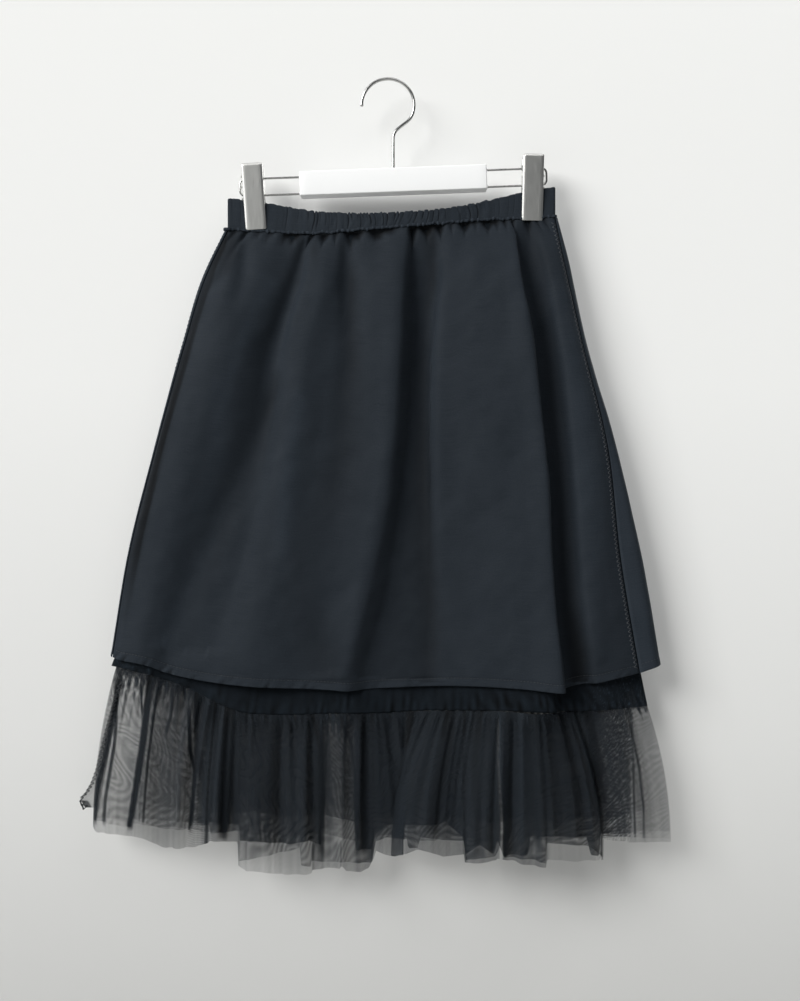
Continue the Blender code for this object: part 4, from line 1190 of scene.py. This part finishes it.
def waistband():
    path, out, length = band_path(BAND_COLUMNS)
    x = path[:, 0]
    top, bottom = waist_height(x, WAIST_TOP), waist_height(x, WAIST_BOTTOM)
    free = 0.35 + 0.65 * np.minimum(1.0, mouth(x) - MOUTH_AT_CLIPS)
    wander = ripples(23, 30, 90, spread=1.2)
    slack = ripples(27, 5, 16, spread=0.4)
    marks = pucker_marks(length, x)
    after = np.searchsorted(marks, length)
    before = np.clip(after - 1, 0, len(marks) - 1)
    following = np.clip(after, 0, len(marks) - 1)
    chance = np.random.default_rng(31)
    strength = chance.uniform(0.15, 1.2, len(marks) + 1)
    reaches = chance.uniform(0.3, 1.8, len(marks) + 1)
    # Profile from the lower edge up the outside, over the top and down the inside:
    # height, and 1 on the outside and -1 on the inside.
    outside = [(k / 12, 1.0) for k in range(13)]
    over = [(1.0 + 0.04 * sin(a), cos(a)) for a in np.linspace(0, pi, 9)[1:-1]]
    profile = outside + over + [(h, -1.0) for h, _ in reversed(outside)]
    rows, tones = [], []
    for height, side in profile:
        down = height * 25
        place = length + 1.4 * wander(length, down)
        to_before, to_following = np.abs(place - marks[before]), np.abs(place - marks[following])
        near = np.minimum(to_before, to_following)
        which = np.where(to_before < to_following, before, after)
        level = min(max(height, 0.0), 1.0)
        crease = strength[which] * (np.exp(-(near / 0.45) ** 2) + 0.16 * np.exp(-(near / 1.5) ** 2))
        crease *= ramp(level - 1 + reaches[which], 0, 0.3)
        press = free * (0.35 + 0.65 * min(1.0, level * 3))
        relief = press * (0.15 - 0.60 * crease + 0.12 * slack(length, down))
        # Painted shade in the creases of the puckers on the band's outside; the slack adds uneven
        # tone.
        tones.append(1.06 - 0.62 * press * crease * (side > 0) + 0.05 * slack(length))
        offset = side * (CASING / 2 + 0.1) + relief * (side > 0)
        z = bottom + (top - bottom) * height + level ** 8 * (
            0.30 * slack(length) - 1.5 * press * crease)
        rows.append(np.column_stack([path + out * offset[:, None], z]))
    return band_piece("waistband_cloth", rows, length, [h * 25 + s for h, s in profile], tones,
                      ["waistband"])


def waist_ridge():
    """Overlocked seam allowance turned up along the band's lower edge."""
    path, out, length = band_path(RIDGE_COLUMNS)
    x = path[:, 0]
    free = 0.35 + 0.65 * np.minimum(1.0, (mouth(x) - MOUTH_AT_CLIPS) / RIDGE_PROUD)
    bumps = ripples(37, 2.2, 7, spread=0.1, count=30)
    sag = ripples(41, 9, 22, spread=0.1, count=16)
    middle = waist_height(x, WAIST_BOTTOM) + 0.8 + 0.30 * sag(length)
    ends = (3.6 * np.exp(-((x - WAIST_X[0]) / 2.5) ** 2)
            + 1.0 * np.exp(-((x - WAIST_X[-1]) / 2.5) ** 2))
    rows = []
    turns = np.linspace(0, 2 * pi, 14, endpoint=False)
    for a in turns:
        lump = bumps(length, 3 * sin(a))
        fat = 0.25 + (0.42 + 0.22 * lump) * free
        offset = CASING / 2 + 0.5 + fat * cos(a) + ends * (cos(a) > 0)
        rows.append(np.column_stack([path + out * offset[:, None],
                                     middle + (1.25 + 0.3 * lump) * sin(a)]))
    # Painted light and shade that follow the lumps: lighter on them, darker between them.
    tone = np.tile(1.12 + 0.30 * bumps(length), (len(turns), 1))
    return band_piece("waistband_seam", rows, length, turns * 2.5, tone)


# ---- hanger ----
HOOK_WIRE = 3.3             # diameter
HOOK_RADIUS = 26.2          # to the wire's middle
HOOK_TIP_ANGLE = 180        # degrees, from +X
HOOK_END_ANGLE = -20
SHANK_X = 5.3
SHANK_TOP = -58
NECK_PULL = 12.0            # how far the double curve's ends keep their heading
BAR_SIZE = (186.4, 17.0, 24.3)
BAR_CENTRE = (5.3, 0.0, -101.3)
BAR_TILT = 2.14             # degrees, right end up
BAR_EDGE = 1.2              # rounded edges
SOCKET_DEPTH = 8.0          # how deep the shank and the wires sit in the bar
ARM_WIRE = 2.2              # diameter of the side wires
ARM_REACH = 153.3           # from the bar's middle to the end of the loop
ARM_HEIGHTS = (8.1, -8.7)   # upper and lower run, from the bar's middle
ARM_CORNER = 5.0
WIRE_SHARP = 50             # degrees from which an edge isn't smoothed
BLOCK_SHARP = 40


def turned(points, degrees, centre):
    """Points turned about Y, right side up, and moved to centre."""
    a = radians(degrees)
    x, y, z = np.moveaxis(np.asarray(points, float), -1, 0)
    return np.stack([x * cos(a) - z * sin(a), y,
                     x * sin(a) + z * cos(a)], axis=-1) + centre


def bar_piece(name, points, faces, finish, node, sharp):
    """Piece given in the bar's own frame, which is tilted."""
    mesh_piece(name, turned(points, BAR_TILT, BAR_CENTRE), faces, finish, [node], sharp)


def ball_at(centre, radius, rings=10, sides=20):
    """Closed ball."""
    a = pi * np.arange(1, rings)[:, None] / rings
    b = 2 * pi * np.arange(sides)[None, :] / sides
    body = np.stack([np.sin(a) * np.cos(b), np.sin(a) * np.sin(b), np.cos(a) + 0 * b], axis=2)
    points = np.concatenate([[(0, 0, 1)], body.reshape(-1, 3), [(0, 0, -1)]])
    last = len(points) - 1
    faces = [(0, 1 + j, 1 + (j + 1) % sides) for j in range(sides)]
    faces += [tuple(i + 1 for i in face) for face in quads(rings - 1, sides, column_loop=True)]
    faces += [(last, last - sides + (j + 1) % sides, last - sides + j) for j in range(sides)]
    return points * radius + centre, faces


def hook():
    turns = np.radians(np.linspace(HOOK_TIP_ANGLE, HOOK_END_ANGLE, 90))
    bend = HOOK_RADIUS * np.stack([np.cos(turns), 0 * turns, np.sin(turns)], axis=1)
    bend[:, 2] += HOOK_WIRE / 2 - HOOK_RADIUS
    heading = np.array([sin(turns[-1]), 0.0, -cos(turns[-1])])
    end = np.array([SHANK_X, 0.0, SHANK_TOP])
    near, far = bend[-1] + heading * NECK_PULL, end + np.array([0.0, 0.0, NECK_PULL])
    t = np.linspace(0, 1, 24)[1:, None]
    neck = (bend[-1] * (1 - t) ** 3 + near * 3 * t * (1 - t) ** 2
            + far * 3 * t * t * (1 - t) + end * t ** 3)
    foot = BAR_CENTRE[2] + BAR_SIZE[2] / 2 - SOCKET_DEPTH + SEAM_GAP
    shank = np.linspace(end, (SHANK_X, 0.0, foot), 8)[1:]
    parts = [tube(np.concatenate([bend, neck, shank]), HOOK_WIRE / 2, 20),
             ball_at(bend[0], HOOK_WIRE / 2 * 1.12)]
    mesh_piece("hook_wire", *join_parts(parts), CHROME, ["hanger_hook"], WIRE_SHARP)


def arm(side, word):
    """Wire loop that comes out of the bar, turns and goes back in."""
    inner = BAR_SIZE[0] / 2 - SOCKET_DEPTH + SEAM_GAP
    corner = np.radians(np.linspace(0, 90, 10))
    x = side * np.concatenate([np.linspace(inner, ARM_REACH - ARM_CORNER, 6)[:-1],
                               ARM_REACH - ARM_CORNER * (1 - np.sin(corner))])
    drop = np.concatenate([np.zeros(5), ARM_CORNER * (1 - np.cos(corner))])
    upper, lower = ARM_HEIGHTS
    points = [*zip(x, 0 * x, upper - drop), *zip(x[::-1], 0 * x, (lower + drop)[::-1])]
    bar_piece(f"arm_wire_{word}", *tube(points, ARM_WIRE / 2, 14), CHROME, f"hanger_wire_{word}",
              WIRE_SHARP)


def bar():
    """Rounded block with small collars where the wires and the hook go in."""
    half = np.array(BAR_SIZE) / 2
    flat = half - BAR_EDGE
    ring = [(y * flat[1] + BAR_EDGE * cos(a), z * flat[2] + BAR_EDGE * sin(a))
            for y, z, start in ((1, 1, 0), (-1, 1, 90), (-1, -1, 180), (1, -1, 270))
            for a in np.radians(np.arange(0, 91, 15)) + radians(start)]
    rows = [(-half[0] + BAR_EDGE * (1 - sin(a)), BAR_EDGE * (1 - cos(a)))
            for a in np.radians((90, 68, 45, 22, 0))]
    rows += [(x, 0.0) for x in np.linspace(-half[0] + 8, half[0] - 8, 12)]
    rows += [(-x, sink) for x, sink in reversed(rows[:5])]
    points = [(x, y * (1 - sink / half[1]), z * (1 - sink / half[2]))
              for x, sink in rows for y, z in ring]
    count = len(ring)
    faces = quads(len(rows), count, column_loop=True)
    faces += [tuple(range(count)), tuple(range(len(rows) * count - count, len(rows) * count))[::-1]]
    parts = [(points, faces)]
    for side in (-1, 1):
        for height in ARM_HEIGHTS:
            collar = [(side * (half[0] + d), 0.0, height) for d in (-0.4, 0.3, 0.8)]
            parts.append(tube(collar, np.array((1.1, 1.0, 0.6)) + ARM_WIRE / 2, 18))
    a = radians(BAR_TILT)
    along = (SHANK_X - BAR_CENTRE[0] + half[2] * sin(a)) / cos(a)
    collar = [(along, 0.0, half[2] + d) for d in (-0.4, 0.5, 1.1)]
    parts.append(tube(collar, np.array((1.2, 1.1, 0.6)) + HOOK_WIRE / 2, 20))
    bar_piece("bar_block", *join_parts(parts), WHITE, "hanger_bar", BLOCK_SHARP)


# ---- clips ----
Clip = namedtuple("Clip", "side x top lean")
CLIPS = (Clip("left", -135.6, -84.9, 3.6), Clip("right", 144.9, -75.8, -1.0))
CLIP_WIDTH = 20.9
CLIP_STEEL = 1.0            # wall of the CAD's jaws
JAW_STEEL = 0.9             # and of the visible ones
JAW_LENGTH = 65.0
JAW_OUT = (9.6, 3.6)        # middle of the jaw's steel at its upper and lower end
JAW_BEVEL = 2.1             # width of the plate's sloping rim
JAW_SLOPE = 0.36            # of that rim
JAW_BEND = 0.75             # radius of the fold where the flange starts
FLANGE = 5.0                # how much deeper the flanges are above FLANGE_END
FLANGE_END = 32.0
CARRIER_WIDTH = 15.0
COIL_TURNS = 6
COIL_RADIUS = 3.3


def jaw(clip, face, word):
    """Pressed steel jaw: a flat plate whose long edges are folded back."""
    downs = np.concatenate([[0, 0.5, 1.2, 2.0, 2.3], np.arange(3, 63, 1.5),
                            [63.2, 64.1, 64.65, JAW_LENGTH]])
    out = np.interp(downs, (0, JAW_LENGTH), JAW_OUT) + CLIP_STEEL / 2
    flange = 0.9 + FLANGE * (0.5 - 0.5 * np.tanh((downs - FLANGE_END) / 2.5))
    pinch = 0.7 * (np.clip(1 - downs, 0, 1) ** 2
                   + np.clip(1 - (JAW_LENGTH - downs) / 1.8, 0, 1) ** 2)
    slope = JAW_SLOPE * (JAW_BEVEL - 0.9)
    rows = []
    for down, place, depth, narrow in zip(downs, out, flange, pinch):
        wide = CLIP_WIDTH / 2 - narrow
        flat = wide - JAW_BEVEL
        right = [(flat, 0.0), (flat + 0.3, 0.06), (wide - JAW_BEND, slope)]
        right += [(wide - JAW_BEND * (1 - sin(a)), slope + JAW_BEND * (1 - cos(a)))
                  for a in np.radians((35, 55, 75, 90))]
        right += [(wide, 1.3 + depth * 0.5), (wide, 1.3 + depth)]
        profile = [(-x, y) for x, y in reversed(right)]
        profile += [(x, 0.0) for x in np.linspace(-flat, flat, 9)[1:-1]] + right
        dish = 0.40 * max(0.0, JAW_BEVEL - down)
        rows.append([(x, face * (place - y - dish), -down) for x, y in profile])
    grid = turned(rows, clip.lean, (clip.x, 0, clip.top))
    if face > 0:
        grid = grid[:, ::-1]
    item = mesh_piece(f"clip_{clip.side}_{word}_jaw", grid, quads(*grid.shape[:2]), STEEL,
                      [f"clip_{clip.side}_{word}"])
    thicken(item, JAW_STEEL, -1.0)


def carrier(clip):
    """Sprung carrier between the jaws: folded plate round the wires, pins and coil."""
    middle = (clip.x - BAR_CENTRE[0]) / cos(radians(BAR_TILT))
    half = CARRIER_WIDTH / 2
    centre = sum(ARM_HEIGHTS) / 2
    parts = []
    for side in (-1, 1):
        x = middle + side * (half + 0.3)
        cheek = np.array([(x + d, y, z) for d in (-0.5, 0.5) for y in (-5.2, 5.2)
                          for z in (centre - 13, centre + 11.5)])
        cheek[:, 1] *= np.where(cheek[:, 2] > centre, 1.0, 0.72)
        parts.append((cheek, [(0, 1, 3, 2), (4, 6, 7, 5), (0, 4, 5, 1), (2, 3, 7, 6), (0, 2, 6, 4),
                              (1, 5, 7, 3)]))
    # Sleeves on the two wires, and three pins: height, half length, radius and sides.
    sleeve = (half, ARM_WIRE / 2 + 0.9, 16)
    for height, reach, size, sides in (
            (ARM_HEIGHTS[0], *sleeve), (ARM_HEIGHTS[1], *sleeve),
            (centre + 0.6, half + 3.9, 1.1, 14), (centre + 11.0, half + 3.7, 1.2, 14),
            (centre - 11.0, half + 3.5, 0.9, 14)):
        rod = [(middle + x, 0.0, height) for x in np.linspace(-reach, reach, 5)]
        parts.append(tube(rod, size, sides))
    turns = np.linspace(0, 2 * pi * COIL_TURNS, 150)
    coil = np.column_stack([middle - 4.6 + 9.2 * turns / turns[-1], COIL_RADIUS * np.cos(turns),
                            centre + 0.6 + COIL_RADIUS * np.sin(turns)])
    parts.append(tube(coil, 0.6, 8))
    bar_piece(f"clip_{clip.side}_carrier", *join_parts(parts), STEEL, f"clip_{clip.side}_block",
              BLOCK_SHARP)


# ---- build ----
band = waistband()
ridge = waist_ridge()
front, front_grid = skirt_front()
back, back_grid = skirt_back()
under_front = underskirt(UNDERSKIRT_FRONT, 43, "underskirt_front")
under_back = underskirt(UNDERSKIRT_BACK, 47, "underskirt_back")

net_long = ruffle_layer("net_front_long", LAYERS_LONG, 0.0, HEM_LONG, replaced=["ruffle_front"],
                        waves=0.1)
net_middle = ruffle_layer("net_front_middle", LAYERS_MIDDLE, -1.5, HEM_MIDDLE)
net_short = ruffle_layer("net_front_short", LAYERS_SHORT, -3.0, HEM_SHORT, ends=SHORT_ENDS)
net_back = ruffle_layer("net_back_long", LAYERS_BACK, 0.0, shorter=10.0, share=0.2,
                        replaced=["ruffle_back"], waves=0.3)
net_inner = ruffle_layer("net_back_short", LAYERS_INNER, -2.2, shorter=30.0, ends=SHORT_ENDS,
                         share=0.3, waves=0.5)

hem_stitches("front_hem_stitches", front_grid)
hem_stitches("back_hem_stitches", back_grid)
side_stitches("right_seam_stitches", front_grid, 480, SEAM_THREAD)
side_stitches("left_seam_stitches", back_grid, 150, THREAD)
tab = ruffle_tab()

hook()
bar()
arm(-1, "left")
arm(1, "right")
for clip in CLIPS:
    jaw(clip, -1, "front")
    jaw(clip, 1, "back")
    carrier(clip)

# ---- studio, in metres ----
WALL_Y = 0.031
FLOOR_Z = -1.1
AIM = (0.0, 0.0, -0.4)      # what the lights point at
BACKDROP = 0.80             # strength of the background where the camera sees it
FILL = 0.09                 # and where it lights the garment, softly from around


def stage_plane(name, corners, material):
    item = linked(name, plain_mesh(name, corners, [(0, 1, 2, 3)], material))
    return item


def wall_look():
    """Matt wall paint, seen only from its front, with a glow of painted light, weaker lower down.
    """
    look = Look("wall paint")
    place = look.place()
    clouds = look.noise(place, (2.0, 2.0, 2.0))
    x, _, z = look.axes(place)
    # Painted light: the paint and the glow grow lighter towards the right, and the glow is weaker
    # lower down.
    right = look.spread(x, -0.4, 0.4, 0.99, 1.095)
    painted_glow = (0.235 - look.spread(z, -0.30, -0.65) * 0.102) - look.spread(z, -0.65, -0.95) * 0.14
    # Painted shadow of the hanger's bar on a strip of the wall behind it, in its paint and its
    # glow.
    aside = look.maths("POWER", look.maths("ABSOLUTE", (x - 0.004) / 0.105), 6.0)
    under = look.maths("POWER", look.maths("ABSOLUTE", (z + 0.119) / 0.015), 2.0)
    painted_bar_shadow = look.maths("EXPONENT", (aside + under) * -1.0)
    paint = look.between(clouds, (0.605, 0.605, 0.595), (0.62, 0.62, 0.615))
    tint = look.between(clouds, (0.985, 1.0, 0.985), (1.0, 1.0, 0.99))
    look.set(Base_Color=look.times(paint, right * (1.0 - painted_bar_shadow * 0.3)), Roughness=0.9,
             Emission_Strength=1.0, Emission_Color=look.times(tint, (painted_glow - painted_bar_shadow * 0.15) * right))
    painted = Output(look, look.shader.outputs[0])
    behind = look.node("NewGeometry")["Backfacing"]
    clear = look.node("BsdfTransparent")[0]
    shown = look.node("MixShader", (0, behind), (1, painted), (2, clear))[0]
    look.put(look.tree.nodes["Material Output"].inputs["Surface"], shown)
    return look.material


def floor_look():
    look = Look("pale floor")
    clouds = look.noise(look.place(), (3.0, 3.0, 3.0), 3.0)
    look.set(Base_Color=look.between(clouds, (0.42, 0.42, 0.41), (0.45, 0.45, 0.44)), Roughness=0.8)
    return look.material


def area_light(name, place, size, power, colour):
    data = bpy.data.lights.new(name, "AREA")
    data.shape = "RECTANGLE"
    data.size, data.size_y = size
    data.energy = power
    data.color = colour
    item = linked(name, data)
    item.location = place
    item.rotation_euler = (Vector(AIM) - Vector(place)).to_track_quat("-Z", "Y").to_euler()


wall_corners = ((-3, FLOOR_Z), (3, FLOOR_Z), (3, 2.0), (-3, 2.0))
wall = stage_plane("wall", [(x, WALL_Y, z) for x, z in wall_corners], wall_look())
wall.visible_shadow = False
floor_corners = ((-4, -4), (4, -4), (4, 4), (-4, 4))
stage_plane("floor", [(x, y, FLOOR_Z) for x, y in floor_corners], floor_look())
area_light("key", (-4.1, -3.8, 2.6), (3.6, 2.8), 440, (1.0, 1.0, 0.985))
area_light("top", (0.4, -1.15, 1.6), (1.6, 0.5), 9, (1.0, 1.0, 0.99))
area_light("rear", (1.6, 2.6, 0.9), (1.4, 1.0), 30, (1.0, 1.0, 1.0))

world = bpy.data.worlds.new("studio")
world.use_nodes = True
sky = world.node_tree
background = sky.nodes["Background"]
background.inputs["Color"].default_value = (0.90, 0.95, 1.0, 1.0)
seen = sky.nodes.new("ShaderNodeLightPath").outputs["Is Camera Ray"]
strength = sky.nodes.new("ShaderNodeMapRange")
strength.inputs["To Min"].default_value = FILL
strength.inputs["To Max"].default_value = BACKDROP
sky.links.new(seen, strength.inputs["Value"])
sky.links.new(strength.outputs[0], background.inputs["Strength"])
scene = bpy.context.scene
scene.world = world
scene.view_settings.view_transform = "Standard"
scene.cycles.transparent_max_bounces = 32

FRAME_HEIGHT = 1001.0       # mm, height of the frame in the garment's middle plane
SENSOR = 36.0
camera_data = bpy.data.cameras.new("camera")
camera_data.sensor_width = SENSOR
camera_data.lens = SENSOR * VIEW_DISTANCE / FRAME_HEIGHT
camera = linked("camera", camera_data)
camera.location = (VIEW_X * MM, -VIEW_DISTANCE * MM, VIEW_Z * MM)
camera.rotation_euler = (pi / 2, 0.0, 0.0)
scene.camera = camera
